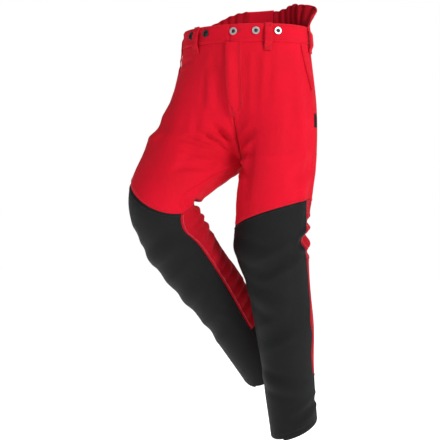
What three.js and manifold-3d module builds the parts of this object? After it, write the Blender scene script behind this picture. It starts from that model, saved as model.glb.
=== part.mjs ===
// Protective forestry trousers with a raised back, worn shape, legs crossed.
// Units mm. Origin: middle of the waist at the front top edge. +Z up, front -Y, wearer's left +X.
import * as THREE from 'three';
import Module from 'manifold-3d';
import { mergeVertices } from 'three/addons/utils/BufferGeometryUtils.js';

const wasm = await Module();
wasm.setup();

// ---- sizes of the garment ----
const waistGirth = 915;
const seatGirth = 1090;
const frontRise = 338;
const legLength = 717;
const thighGirth = 625;
const midThighGirth = 590;
const kneeGirth = 555;
const calfGirth = 465;
const hemGirth = 388;
const waistbandHeight = 44;
const backRaise = 72;

// ---- how the wearer stands ----
const leftStance = { thighOut: -3, thighForward: 6, shinOut: 3.5, shinForward: -9, turnOut: 4 };
const rightStance = { thighOut: 24, thighForward: 26, shinOut: -24, shinForward: -32, turnOut: 36 };
const hipBelowWaist = 190;
const kneeBelowHip = 290;

// Where the cloth stands away from the leg (or lies closer to it): centre of the swell, how far it
// reaches round the leg and along it, and how much it stands off.
const kneeBelowWaist = hipBelowWaist + kneeBelowHip;
const fullness = {
  left: [
    // the inside of the knee, below the padding
    { round: 0.05, down: kneeBelowWaist + 80, reach: 0.16, length: 60, amount: 15 },
    // the outside of the calf
    { round: 0.55, down: kneeBelowWaist + 300, reach: 0.18, length: 90, amount: 10 },
  ],
  right: [
    // the outside of the hip, pushed out by the lifted thigh
    { round: 0.42, down: hipBelowWaist + 30, reach: 0.18, length: 90, amount: 20 },
    // the underside of the thigh, drawn against the leg
    { round: 0.9, down: hipBelowWaist + 190, reach: 0.14, length: 60, amount: -15 },
    // the front of the shin, held off by the pad
    { round: 0.3, down: kneeBelowWaist + 140, reach: 0.18, length: 120, amount: 15 },
    // the calf, hanging behind the leg
    { round: 0.85, down: kneeBelowWaist + 300, reach: 0.18, length: 80, amount: 12 },
  ],
};
const fullnessFade = 60;

// ---- cloth and fit ----
const clothThickness = 2.4;
const padThickness = 6;
const seamGap = 0.3;
const layerGap = 1.8;
const trimThickness = 1.6;
const trimGap = 1.3;

// ---- hardware ----
const ringButtonRadius = 9.5;
const ringHoleRadius = 4.6;
const ringThickness = 2.6;
const beltLoopWidth = 18;
const beltLoopThickness = 2;
const beltLoopLength = 68;
const beltClearance = 10;
const zipTapeWidth = 12;
const zipTapeThickness = 1.2;
const zipBeadThickness = 2.2;
const sliderWidth = 9;
const sliderLength = 11;
const pullLength = 17;

// ---- colours ----
const red = { color: 0xd3122a, roughness: 0.82 };
const darkRed = { color: 0xa80f22, roughness: 0.88 };
const black = { color: 0x252628, roughness: 0.85 };
const padWhite = { color: 0xd9d6cc, roughness: 0.95 };
const liningGrey = { color: 0x4a4b4e, roughness: 0.9 };
const darkMetal = { color: 0x2c2d30, roughness: 0.35, metalness: 0.9 };
const brightMetal = { color: 0xc9cbce, roughness: 0.3, metalness: 0.95 };

const group = new THREE.Group();
group.name = 'protective_forestry_trousers';

function addPiece(name, geometry, look) {
  const material = new THREE.MeshStandardMaterial({ metalness: 0, ...look });
  const mesh = new THREE.Mesh(geometry, material);
  mesh.name = name;
  group.add(mesh);
  return mesh;
}

// ---- small maths ----
const mix = (a, b, t) => a + (b - a) * t;
const ease = (low, high, x) => THREE.MathUtils.smoothstep(x, low, high);
const lean = (degrees) => Math.tan(THREE.MathUtils.degToRad(degrees));

// Smooth curve through [place, value] pairs.
function throughKeys(keys, place) {
  const last = keys.length - 1;
  const x = THREE.MathUtils.clamp(place, keys[0][0], keys[last][0]);
  let i = 0;
  while (i < last - 1 && x > keys[i + 1][0]) i += 1;
  const slope = (a, b) => (keys[b][1] - keys[a][1]) / (keys[b][0] - keys[a][0]);
  const here = slope(i, i + 1);
  const before = i > 0 ? (slope(i - 1, i) + here) / 2 : here;
  const after = i < last - 1 ? (slope(i + 1, i + 2) + here) / 2 : here;
  const step = keys[i + 1][0] - keys[i][0];
  const t = (x - keys[i][0]) / step;
  const fromStart = (2 * t ** 3 - 3 * t ** 2 + 1) * keys[i][1] + (t ** 3 - 2 * t ** 2 + t) * step * before;
  const fromEnd = (3 * t ** 2 - 2 * t ** 3) * keys[i + 1][1] + (t ** 3 - t ** 2) * step * after;
  return fromStart + fromEnd;
}

// ---- shape of the body the cloth hangs on ----
// "down" is the distance along the leg from the waist; "round" runs 0 to 1 from the inside of
// the leg (centre front above the crotch) over the front, the outside and the back.
const crotchDown = frontRise;
const kneeDown = kneeBelowWaist;
const hemDown = frontRise + legLength;
const kneeBendLength = 75;
const waistWidthShare = 0.182;
const waistDepthShare = 0.131;
const crotchSetBack = -25;

const halfWidth = (down) => throughKeys([
  [0, waistGirth * waistWidthShare],
  [crotchDown * 0.3, mix(waistGirth, seatGirth, 0.25) * waistWidthShare],
  [crotchDown * 0.7, seatGirth * waistWidthShare * 0.975],
  [crotchDown, seatGirth * waistWidthShare],
], down);
const frontDepth = (down) => throughKeys([
  [0, waistGirth * waistDepthShare],
  [crotchDown * 0.4, seatGirth * waistDepthShare * 0.9],
  [crotchDown, seatGirth * waistDepthShare * 0.8],
], down);
const backDepth = (down) => throughKeys([
  [0, waistGirth * waistDepthShare],
  [crotchDown * 0.35, seatGirth * waistDepthShare * 0.93],
  [crotchDown * 0.65, seatGirth * waistDepthShare],
  [crotchDown, seatGirth * waistDepthShare * 0.86],
], down);

const roundRadius = (girth) => girth / (2 * Math.PI);
const legWidth = (down) => throughKeys([
  [crotchDown, roundRadius(thighGirth) * 1.06],
  [mix(crotchDown, kneeDown, 0.5), roundRadius(midThighGirth) * 1.1],
  [kneeDown, roundRadius(kneeGirth) * 1.09],
  [mix(kneeDown, hemDown, 0.3), roundRadius(mix(kneeGirth, calfGirth, 0.62)) * 0.99],
  [mix(kneeDown, hemDown, 0.58), roundRadius(calfGirth) * 0.89],
  [mix(kneeDown, hemDown, 0.78), roundRadius(mix(calfGirth, hemGirth, 0.5)) * 0.95],
  [hemDown, roundRadius(hemGirth)],
], down);
const legDepth = (down) => throughKeys([
  [crotchDown, roundRadius(thighGirth)],
  [mix(crotchDown, kneeDown, 0.5), roundRadius(midThighGirth) * 0.97],
  [kneeDown, roundRadius(kneeGirth) * 0.94],
  [mix(kneeDown, hemDown, 0.3), roundRadius(mix(kneeGirth, calfGirth, 0.62))],
  [mix(kneeDown, hemDown, 0.58), roundRadius(calfGirth) * 0.95],
  [hemDown, roundRadius(hemGirth) * 1.02],
], down);

function legDirection(side, stance, bend) {
  const thigh = new THREE.Vector3(side * lean(stance.thighOut), -lean(stance.thighForward), -1).normalize();
  const shin = new THREE.Vector3(side * lean(stance.shinOut), -lean(stance.shinForward), -1).normalize();
  return thigh.lerp(shin, bend).normalize();
}

const bendAt = (down) => ease(kneeDown - kneeBendLength, kneeDown + kneeBendLength, down);

// The middle line of one leg, walked down from the hip in short steps.
function walkLeg(side, stance) {
  const step = 5;
  const hip = new THREE.Vector3(side * halfWidth(hipBelowWaist) / 2, 0, -hipBelowWaist);
  const line = [hip];
  for (let down = hipBelowWaist; down < hemDown + step; down += step) {
    const direction = legDirection(side, stance, bendAt(down + step / 2));
    line.push(line[line.length - 1].clone().addScaledVector(direction, step));
  }
  return (down) => {
    if (down <= hipBelowWaist) return new THREE.Vector3(side * halfWidth(down) / 2, 0, -down);
    const place = (down - hipBelowWaist) / step;
    const i = Math.min(Math.floor(place), line.length - 2);
    return line[i].clone().lerp(line[i + 1], place - i);
  };
}

const legs = {
  left: { side: 1, stance: leftStance, swells: fullness.left, middle: walkLeg(1, leftStance) },
  right: { side: -1, stance: rightStance, swells: fullness.right, middle: walkLeg(-1, rightStance) },
};

// Outward, forward and down directions of the leg's cross section.
function legFrame(leg, down) {
  const turn = THREE.MathUtils.degToRad(leg.stance.turnOut) * ease(hipBelowWaist, kneeDown, down);
  const tilt = ease(hipBelowWaist * 0.8, mix(crotchDown, kneeDown, 0.6), down);
  const normal = new THREE.Vector3(0, 0, -1);
  normal.lerp(legDirection(leg.side, leg.stance, bendAt(down)), tilt).normalize();
  const outward = new THREE.Vector3(leg.side * Math.cos(turn), Math.sin(turn), 0);
  outward.addScaledVector(normal, -outward.dot(normal)).normalize();
  const forward = new THREE.Vector3(leg.side * Math.sin(turn), -Math.cos(turn), 0);
  forward.addScaledVector(normal, -forward.dot(normal));
  forward.addScaledVector(outward, -forward.dot(outward)).normalize();
  return { outward, forward };
}

function legRing(leg, round, down) {
  const { outward, forward } = legFrame(leg, down);
  const angle = 2 * Math.PI * round;
  const hipWidth = mix(halfWidth(down) / 2, legWidth(crotchDown), down / crotchDown);
  const width = down < crotchDown ? hipWidth : legWidth(down);
  const depth = legDepth(Math.max(down, crotchDown));
  const point = leg.middle(down);
  point.addScaledVector(outward, -width * Math.cos(angle));
  return point.addScaledVector(forward, depth * Math.sin(angle));
}

function bodyRing(leg, round, down) {
  const angle = Math.PI * round;
  const depth = mix(frontDepth(down), backDepth(down), ease(0.25, 0.75, round));
  return new THREE.Vector3(leg.side * halfWidth(down) * Math.sin(angle), -depth * Math.cos(angle), -down);
}

// How far the cloth has turned from one body ring into two leg rings; the outside turns first.
const legShare = (round, down) => (
  Math.min(1, Math.max(0, down) / crotchDown) ** (3 - 1.6 * Math.sin(Math.PI * round))
);

function plainSurface(leg, round, down) {
  return bodyRing(leg, round, down).lerp(legRing(leg, round, down), legShare(round, down));
}

// The seam both halves share, from the waist under the crotch.
function centreSeam(round, down) {
  const depth = round < 0.5 ? -frontDepth(down) : backDepth(down);
  const share = legShare(round, down);
  return new THREE.Vector3(0, mix(depth, crotchSetBack, share), -Math.min(down, crotchDown));
}

// Above the knee each leg keeps to its own side of the middle.
function keepToSide(leg, point, down) {
  const allowed = hemDown * ease(kneeDown, hemDown, down);
  point.x = leg.side * Math.max(-allowed, leg.side * point.x);
  return point;
}

function fullnessAt(leg, round, down) {
  let amount = 0;
  for (const swell of leg.swells) {
    const off = Math.abs(round - swell.round);
    const near = Math.min(off, 1 - off) / swell.reach;
    amount += swell.amount * Math.exp(-near * near - ((down - swell.down) / swell.length) ** 2);
  }
  const seam = 1 - ease(0, 0.08, Math.min(round, 1 - round));
  return amount * (1 - seam * (1 - ease(crotchDown, crotchDown + fullnessFade, down)));
}

function restingSurface(leg, round, down) {
  const point = plainSurface(leg, round, down);
  const fade = 1 - ease(crotchDown, crotchDown + 150, down);
  if (fade <= 0) return keepToSide(leg, point, down);
  const held = Math.min(down, crotchDown);
  for (const seam of [0, 1]) {
    const near = (1 - ease(0, 0.4, Math.abs(round - seam))) * fade;
    if (near <= 0) continue;
    const shift = centreSeam(seam, held).sub(plainSurface(leg, seam, held));
    point.addScaledVector(shift, down > crotchDown ? near * 0.5 : near);
  }
  if (down > crotchDown) {
    const both = centreSeam(0, held).sub(plainSurface(leg, 0, held));
    const inner = (1 - ease(0, 0.4, Math.min(round, 1 - round))) * fade;
    point.addScaledVector(both, inner * 0.5);
  }
  return keepToSide(leg, point, down);
}

function normalOf(shape, leg, round, down) {
  const d = 0.004;
  const across = shape(leg, round + d, down).sub(shape(leg, round - d, down));
  const along = shape(leg, round, down + 2).sub(shape(leg, round, down - 2));
  return across.cross(along).multiplyScalar(-leg.side).normalize();
}

function surface(leg, round, down) {
  const outwards = normalOf(restingSurface, leg, round, down);
  const point = restingSurface(leg, round, down);
  return keepToSide(leg, point.addScaledVector(outwards, fullnessAt(leg, round, down)), down);
}

const surfaceNormal = (leg, round, down) => normalOf(surface, leg, round, down);

const lifted = (leg, round, down, lift) => (
  surface(leg, round, down).addScaledVector(surfaceNormal(leg, round, down), lift)
);

// ---- closed solid between two grids of points ----
function solidFromGrids(outer, inner, flip) {
  const rows = outer.length;
  const columns = outer[0].length;
  const positions = [...outer.flat(), ...inner.flat()].flatMap((p) => [p.x, p.y, p.z]);
  const index = [];
  const at = (layer, r, c) => layer * rows * columns + r * columns + c;
  const quad = (a, b, c, d) => {
    if (flip) index.push(a, c, b, a, d, c);
    else index.push(a, b, c, a, c, d);
  };
  for (let r = 0; r < rows - 1; r += 1) {
    for (let c = 0; c < columns - 1; c += 1) {
      quad(at(0, r, c), at(0, r + 1, c), at(0, r + 1, c + 1), at(0, r, c + 1));
      quad(at(1, r, c), at(1, r, c + 1), at(1, r + 1, c + 1), at(1, r + 1, c));
    }
  }
  for (let r = 0; r < rows - 1; r += 1) {
    quad(at(0, r, 0), at(1, r, 0), at(1, r + 1, 0), at(0, r + 1, 0));
    const c = columns - 1;
    quad(at(0, r, c), at(0, r + 1, c), at(1, r + 1, c), at(1, r, c));
  }
  for (let c = 0; c < columns - 1; c += 1) {
    quad(at(0, 0, c), at(0, 0, c + 1), at(1, 0, c + 1), at(1, 0, c));
    const r = rows - 1;
    quad(at(0, r, c), at(1, r, c), at(1, r, c + 1), at(0, r, c + 1));
  }
  const geometry = new THREE.BufferGeometry();
  geometry.setAttribute('position', new THREE.Float32BufferAttribute(positions, 3));
  geometry.setIndex(index);
  geometry.computeVertexNormals();
  return geometry;
}

// A piece of cloth cut from the garment: edges may be numbers or functions of "round".
// "lift" is how far its outer face stands off the garment surface.
function clothPanel(leg, cut) {
  const { from, to, top, bottom, columns, rows, lift = 0, thickness = clothThickness, wave } = cut;
  const drift = cut.drift ?? 0;
  const topAt = typeof top === 'function' ? top : () => top;
  const bottomAt = typeof bottom === 'function' ? bottom : () => bottom;
  const outer = [];
  const inner = [];
  for (let r = 0; r <= rows; r += 1) {
    const outerRow = [];
    const innerRow = [];
    for (let c = 0; c <= columns; c += 1) {
      const round = mix(from, to, c / columns) + drift * (r / rows);
      const down = mix(topAt(round) + seamGap / 2, bottomAt(round) - seamGap / 2, r / rows);
      const stand = lift + (wave ? wave(round, down) : 0);
      const pair = [lifted(leg, round, down, stand), lifted(leg, round, down, stand - thickness)];
      const sideStep = new THREE.Vector3();
      if (c === 0 || c === columns) {
        sideStep.copy(surface(leg, mix(from, to, 0.5), down)).sub(pair[0]).normalize();
        sideStep.multiplyScalar(seamGap * 0.6);
      }
      for (const point of pair) {
        point.add(sideStep);
        const keepOff = leg.side * Math.max(seamGap / 2, leg.side * point.x);
        if (down < kneeDown) point.x = keepOff;
      }
      outerRow.push(pair[0]);
      innerRow.push(pair[1]);
    }
    outer.push(outerRow);
    inner.push(innerRow);
  }
  return solidFromGrids(outer, inner, leg.side < 0);
}

// ---- seam lines ----
const slantFrom = (inside, outside, bow = 1) => (round) => (
  mix(inside, outside, (2 * Math.min(round, 1 - round)) ** bow)
);
const hipFoldTop = slantFrom(crotchDown + 12, hipBelowWaist, 0.5);
const hipFoldBottom = slantFrom(crotchDown + 48, crotchDown + 12);
const kneeSeam = slantFrom(kneeDown + 31, kneeDown - 50);
const kneeFoldBottom = kneeDown + 95;
const cuffSeam = mix(kneeDown, hemDown, 0.72);
const hemBackRise = 40;
const hemEdge = (round) => hemDown - hemBackRise * (0.5 - 0.5 * Math.cos(2 * Math.PI * (round - 0.12)));
const sideSeam = 0.5;

function buildLegPanels(name, leg) {
  const front = { from: 0, to: sideSeam, columns: 12 };
  const back = { from: sideSeam, to: 1, columns: 10 };
  addPiece(`front_hip_${name}`, clothPanel(leg, {
    ...front, top: waistbandHeight, bottom: hipFoldTop, rows: 12,
  }), red);
  addPiece(`seat_${name}`, clothPanel(leg, {
    ...back, top: waistbandHeight, bottom: hipFoldTop, rows: 12,
  }), red);
  addPiece(`hip_fold_front_${name}`, clothPanel(leg, {
    ...front, top: hipFoldTop, bottom: hipFoldBottom, rows: 4,
  }), red);
  addPiece(`hip_fold_back_${name}`, clothPanel(leg, {
    ...back, top: hipFoldTop, bottom: hipFoldBottom, rows: 4,
  }), red);
  addPiece(`thigh_front_${name}`, clothPanel(leg, {
    ...front, top: hipFoldBottom, bottom: kneeSeam, rows: 6,
  }), red);
  addPiece(`thigh_back_${name}`, clothPanel(leg, {
    ...back, top: hipFoldBottom, bottom: kneeSeam, rows: 6,
  }), darkRed);
  addPiece(`knee_front_${name}`, clothPanel(leg, {
    ...front, top: kneeSeam, bottom: kneeFoldBottom, rows: 8,
  }), black);
  addPiece(`knee_back_${name}`, clothPanel(leg, {
    ...back, top: kneeSeam, bottom: kneeFoldBottom, rows: 8,
  }), darkRed);
  addPiece(`shin_front_${name}`, clothPanel(leg, {
    ...front, top: kneeFoldBottom, bottom: hemEdge, rows: 7,
  }), black);
  addPiece(`calf_back_${name}`, clothPanel(leg, {
    ...back, top: kneeFoldBottom, bottom: cuffSeam, rows: 5,
  }), darkRed);
  addPiece(`cuff_back_${name}`, clothPanel(leg, {
    ...back, top: cuffSeam, bottom: hemEdge, rows: 3,
  }), black);
}

// ---- cut-resistant padding behind the front of each leg ----
const padFrom = 0.11;
const padTo = 0.45;
const padClear = 3;
const padAboveHem = 15;

function buildPads(name, leg) {
  const pad = {
    from: padFrom,
    to: padTo,
    columns: 6,
    lift: -(clothThickness + layerGap),
    thickness: padThickness,
  };
  const below = (seam) => (round) => seam(round) + padClear;
  const above = (seam) => (round) => seam(round) - padClear;
  addPiece(`thigh_pad_${name}`, clothPanel(leg, {
    ...pad, top: below(hipFoldBottom), bottom: above(kneeSeam), rows: 4,
  }), padWhite);
  addPiece(`knee_pad_${name}`, clothPanel(leg, {
    ...pad, top: below(kneeSeam), bottom: kneeFoldBottom - padClear, rows: 7,
  }), padWhite);
  addPiece(`shin_pad_${name}`, clothPanel(leg, {
    ...pad, top: kneeFoldBottom + padClear, bottom: hemDown - hemBackRise - padAboveHem, rows: 6,
  }), padWhite);
}

// ---- waistband and raised back ----
const bandSideEnd = 0.56;
const centreBackStart = 0.93;
const overlapWidth = 9;
const leftHump = 0.22;
const rightDip = -0.3;
const leftFlare = 16;
const waistbandThickness = clothThickness * 1.3;
const pleatDepth = 2.2;
const pleatCount = 9;

// Height of the raised back's top edge above the front top edge.
function raisedTop(leg, round) {
  const hump = leg.side > 0 ? leftHump : rightDip;
  const gathers = Math.sin(Math.PI * ease(bandSideEnd, centreBackStart, round));
  const climb = ease(bandSideEnd - 0.02, centreBackStart - 0.1, round);
  return -(backRaise * climb * (1 + hump * gathers));
}

// The raised back of the left side stands off the body near the side seam.
function flareAt(leg, round, down) {
  if (leg.side < 0) return 0;
  return leftFlare * ease(0, backRaise, -down) * Math.sin(Math.PI * ease(0.5, 0.76, round));
}

function pleatAt(round) {
  const turn = (round - bandSideEnd) / (centreBackStart - bandSideEnd);
  return -pleatDepth * 0.5 * Math.cos(2 * Math.PI * pleatCount * turn);
}

function buildWaist(name, leg) {
  addPiece(`waistband_${name}`, clothPanel(leg, {
    from: 0, to: bandSideEnd, top: 0, bottom: waistbandHeight, columns: 14, rows: 2,
    thickness: waistbandThickness,
  }), red);
  addPiece(`back_elastic_${name}`, clothPanel(leg, {
    from: bandSideEnd, to: centreBackStart, top: (round) => raisedTop(leg, round), bottom: waistbandHeight,
    columns: 27, rows: 3,
    wave: (round, down) => flareAt(leg, round, down) + pleatAt(round),
  }), darkRed);
}

// Columns of the centre back panel, from the wearer's right to the left.
function centreBackColumns() {
  const count = 3;
  const rounds = Array.from({ length: count }, (_, c) => mix(centreBackStart, 1, c / count));
  const rightHalf = rounds.map((round) => ({ leg: legs.right, round, inset: 0 }));
  const leftHalf = rounds.map((round) => ({ leg: legs.left, round, inset: 0 })).reverse();
  rightHalf[0].inset = seamGap;
  leftHalf[count - 1].inset = -seamGap;
  return [...rightHalf, { leg: legs.right, round: 1, inset: 0 }, ...leftHalf];
}

function buildCentreBack() {
  const rows = 3;
  const outer = [];
  const inner = [];
  for (let r = 0; r <= rows; r += 1) {
    const line = centreBackColumns().map(({ leg, round, inset }) => {
      const down = mix(-backRaise, waistbandHeight - seamGap / 2, r / rows);
      const normal = round === 1 ? new THREE.Vector3(0, 1, 0) : surfaceNormal(leg, round, down);
      const point = surface(leg, round, down).add(new THREE.Vector3(inset, 0, 0));
      return [point, point.clone().addScaledVector(normal, -clothThickness)];
    });
    outer.push(line.map((pair) => pair[0]));
    inner.push(line.map((pair) => pair[1]));
  }
  addPiece('raised_back_centre', solidFromGrids(outer, inner, true), red);
}

// ---- things that sit at a place on the garment ----
// "round" where the garment is "across" mm from the middle, in front or behind.
function roundAtWidth(leg, across, down, low = 0, high = 0.5) {
  let inside = low;
  let outside = high;
  for (let i = 0; i < 30; i += 1) {
    const middle = (inside + outside) / 2;
    if (Math.abs(surface(leg, middle, down).x) < Math.abs(across)) inside = middle;
    else outside = middle;
  }
  return (inside + outside) / 2;
}

// Puts a flat-built shape on the garment: its x runs round the body, y up, z outwards.
function placeOn(geometry, leg, round, down, lift) {
  const outwards = surfaceNormal(leg, round, down);
  const up = surface(leg, round, down - 2).sub(surface(leg, round, down + 2)).normalize();
  const aside = up.clone().cross(outwards).normalize();
  const trueUp = outwards.clone().cross(aside).normalize();
  const place = new THREE.Matrix4().makeBasis(aside, trueUp, outwards);
  place.setPosition(lifted(leg, round, down, lift));
  return geometry.applyMatrix4(place);
}

function ringButton() {
  const edge = 1.6;
  const profile = [
    [ringHoleRadius, 0],
    [ringButtonRadius, 0],
    [ringButtonRadius, ringThickness - edge / 2],
    [ringButtonRadius - edge, ringThickness],
    [ringHoleRadius + edge, ringThickness],
    [ringHoleRadius, ringThickness - edge / 2],
    [ringHoleRadius, 0],
  ].map(([x, y]) => new THREE.Vector2(x, y));
  return new THREE.LatheGeometry(profile, 20).rotateX(Math.PI / 2);
}

// Places round the waist, as shares of its girth from the middle; the fly button follows the overlap.
const innerButtonShare = 0.073;
const outerButtonShare = 0.127;
const backButtonShare = 0.06;
const frontLoopShare = 0.104;
const backLoopShare = 0.072;
const flyButtonAcross = overlapWidth + 2;
const buttonStand = 0.5;
const backButtonStand = 1.1;

function buildButtons() {
  const middleOfBand = waistbandHeight * 0.42;
  const inner = waistGirth * innerButtonShare;
  const outer = waistGirth * outerButtonShare;
  const onBand = [
    ['waist_button', legs.left, flyButtonAcross, brightMetal],
    ['brace_button_left_inner', legs.left, inner, brightMetal],
    ['brace_button_left_outer', legs.left, outer, brightMetal],
    ['brace_button_right_inner', legs.right, inner, darkMetal],
    ['brace_button_right_outer', legs.right, outer, darkMetal],
  ];
  for (const [name, leg, across, look] of onBand) {
    const round = roundAtWidth(leg, across, middleOfBand);
    addPiece(name, placeOn(ringButton(), leg, round, middleOfBand, buttonStand), look);
  }
  const backDown = -backRaise * 0.62;
  for (const [side, leg] of Object.entries(legs)) {
    const button = placeOn(ringButton(), leg, 1 - backButtonShare, backDown, backButtonStand);
    addPiece(`brace_button_back_${side}`, button, darkMetal);
  }
}

function beltLoop() {
  const half = beltLoopLength / 2;
  const foot = 9;
  const rise = beltClearance + beltLoopThickness;
  const outline = [
    [-half, 0], [-half, beltLoopThickness], [foot - half, beltLoopThickness * 1.5], [foot * 2 - half, rise],
    [half - foot * 2, rise], [half - foot, beltLoopThickness * 1.5], [half, beltLoopThickness], [half, 0],
    [half - foot * 1.2, 0], [half - foot * 2.3, beltClearance],
    [foot * 2.3 - half, beltClearance], [foot * 1.2 - half, 0],
  ];
  const shape = new THREE.Shape(outline.map(([x, y]) => new THREE.Vector2(x, y)));
  const strip = new THREE.ExtrudeGeometry(shape, { depth: beltLoopWidth, bevelEnabled: false, steps: 1 });
  strip.translate(0, 0, -beltLoopWidth / 2);
  const turned = new THREE.Matrix4().makeBasis(
    new THREE.Vector3(0, 1, 0),
    new THREE.Vector3(0, 0, 1),
    new THREE.Vector3(1, 0, 0),
  );
  return strip.applyMatrix4(turned);
}

function buildBeltLoops() {
  const middle = beltLoopLength / 2 - 1;
  const front = waistGirth * frontLoopShare;
  const back = waistGirth * backLoopShare;
  const stand = 1;
  for (const [side, leg] of Object.entries(legs)) {
    const frontRound = roundAtWidth(leg, front, middle);
    addPiece(`belt_loop_front_${side}`, placeOn(beltLoop(), leg, frontRound, middle, stand), red);
    addPiece(`belt_loop_side_${side}`, placeOn(beltLoop(), leg, sideSeam, middle, stand), red);
    const backRound = roundAtWidth(leg, back, middle, 1, 0.5);
    addPiece(`belt_loop_back_${side}`, placeOn(beltLoop(), leg, backRound, middle, stand * 2.6), red);
  }
  addPiece('belt_loop_centre_back', placeOn(beltLoop(), legs.left, 1, middle, stand * 1.6), red);
}

// ---- fly, zip and their parts ----
const flyWidth = 31;
const flyBottom = crotchDown * 0.67;
const zipTop = waistbandHeight + 3;
const zipBottom = flyBottom - 14;
const zipBehind = 7.5;

function flyPanel(name, cut, look) {
  const rows = 8;
  const columns = 6;
  const outer = [];
  const inner = [];
  for (let r = 0; r <= rows; r += 1) {
    const outerRow = [];
    const innerRow = [];
    for (let c = 0; c <= columns; c += 1) {
      const across = mix(cut.from, cut.to, c / columns);
      const leg = across < 0 ? legs.right : legs.left;
      const down = mix(cut.top, cut.bottom(across), r / rows);
      const round = roundAtWidth(leg, across, down);
      outerRow.push(lifted(leg, round, down, cut.lift));
      innerRow.push(lifted(leg, round, down, cut.lift - trimThickness));
    }
    outer.push(outerRow);
    inner.push(innerRow);
  }
  addPiece(name, solidFromGrids(outer, inner, false), look);
}

// Straight line the zip runs on, behind the fly; 0 is the top end and 1 the bottom end.
function zipPoint(share) {
  const end = (down) => centreSeam(0, down).add(new THREE.Vector3(0, clothThickness + zipBehind, 0));
  return end(zipTop).lerp(end(zipBottom), share);
}

const zipRun = zipPoint(1).sub(zipPoint(0));
const zipLength = zipRun.length();

function alongZip(geometry, downFromTop, forward) {
  const up = zipRun.clone().negate().normalize();
  const outwards = new THREE.Vector3(1, 0, 0).cross(up).normalize();
  const place = new THREE.Matrix4().makeBasis(new THREE.Vector3(1, 0, 0), up, outwards);
  place.setPosition(zipPoint(downFromTop / zipLength).addScaledVector(outwards, forward));
  return geometry.applyMatrix4(place);
}

function zipTape(side) {
  const bead = 2.4;
  const edge = seamGap / 2;
  const outline = [
    [edge, -zipBeadThickness / 2], [bead, -zipBeadThickness / 2], [bead, -zipTapeThickness / 2],
    [zipTapeWidth, -zipTapeThickness / 2], [zipTapeWidth, zipTapeThickness / 2],
    [bead, zipTapeThickness / 2], [bead, zipBeadThickness / 2], [edge, zipBeadThickness / 2],
  ].map(([x, y]) => new THREE.Vector2(side * x, y));
  const tape = new THREE.ExtrudeGeometry(new THREE.Shape(outline), {
    depth: zipLength, bevelEnabled: false, steps: 1,
  });
  return alongZip(tape.rotateX(Math.PI / 2), 0, 0);
}

function toSolid(geometry) {
  const bare = geometry.clone();
  bare.deleteAttribute('normal');
  bare.deleteAttribute('uv');
  const merged = mergeVertices(bare, 1e-3);
  return new wasm.Manifold(new wasm.Mesh({
    numProp: 3,
    vertProperties: new Float32Array(merged.attributes.position.array),
    triVerts: new Uint32Array(merged.index.array),
  }));
}

function joined(first, second) {
  const result = toSolid(first).add(toSolid(second)).getMesh();
  const geometry = new THREE.BufferGeometry();
  geometry.setAttribute('position', new THREE.BufferAttribute(result.vertProperties, 3));
  geometry.setIndex(new THREE.BufferAttribute(result.triVerts, 1));
  geometry.computeVertexNormals();
  return geometry;
}

const sliderForward = zipBeadThickness / 2 + seamGap;
const sliderPlate = 1.2;
const bailGap = 2;
const pullThickness = 1;

function buildZip() {
  addPiece('zip_tape_left', zipTape(1), black);
  addPiece('zip_tape_right', zipTape(-1), black);
  const plateTop = sliderForward + sliderPlate;
  const bar = 0.9;
  const halfLength = sliderLength / 2;
  const bailHalf = 2.4;
  const side = [
    [-halfLength, sliderForward], [halfLength, sliderForward], [halfLength, plateTop],
    [bailHalf, plateTop], [bailHalf, plateTop + bailGap + bar], [-bailHalf, plateTop + bailGap + bar],
    [-bailHalf, plateTop], [-halfLength, plateTop],
  ].map(([x, y]) => new THREE.Vector2(x, y));
  const shape = new THREE.Shape(side);
  const slot = [
    [-bailHalf + bar, plateTop + 0.05], [bailHalf - bar, plateTop + 0.05],
    [bailHalf - bar, plateTop + bailGap], [-bailHalf + bar, plateTop + bailGap],
  ].map(([x, y]) => new THREE.Vector2(x, y));
  shape.holes.push(new THREE.Path(slot));
  const bailWidth = 2.2;
  const slider = new THREE.ExtrudeGeometry(shape, { depth: bailWidth, bevelEnabled: false, steps: 1 });
  slider.translate(0, 0, -bailWidth / 2);
  const turned = new THREE.Matrix4().makeBasis(
    new THREE.Vector3(0, 1, 0),
    new THREE.Vector3(0, 0, 1),
    new THREE.Vector3(1, 0, 0),
  );
  const plate = new THREE.BoxGeometry(sliderWidth, sliderLength, sliderPlate);
  plate.translate(0, 0, sliderForward + sliderPlate / 2);
  const whole = joined(slider.applyMatrix4(turned), plate);
  addPiece('zip_slider', alongZip(whole, halfLength + 1, 0), darkMetal);

  const pullWidth = 5.2;
  const barHalf = 0.55;
  const eye = 4.2;
  const eyeHalf = 1.7;
  const flare = 0.4;
  const pull = new THREE.Shape([
    [-pullWidth / 2, barHalf], [-pullWidth / 2 - flare, -pullLength], [pullWidth / 2 + flare, -pullLength],
    [pullWidth / 2, barHalf],
  ].map(([x, y]) => new THREE.Vector2(x, y)));
  const hole = [[-eyeHalf, -barHalf], [eyeHalf, -barHalf], [eyeHalf, -eye], [-eyeHalf, -eye]];
  pull.holes.push(new THREE.Path(hole.map(([x, y]) => new THREE.Vector2(x, y))));
  const tag = new THREE.ExtrudeGeometry(pull, { depth: pullThickness, bevelEnabled: false, steps: 1 });
  tag.translate(0, 0, -pullThickness / 2);
  addPiece('zip_pull', alongZip(tag, halfLength + 1, plateTop + bailGap / 2), darkMetal);
}

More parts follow.
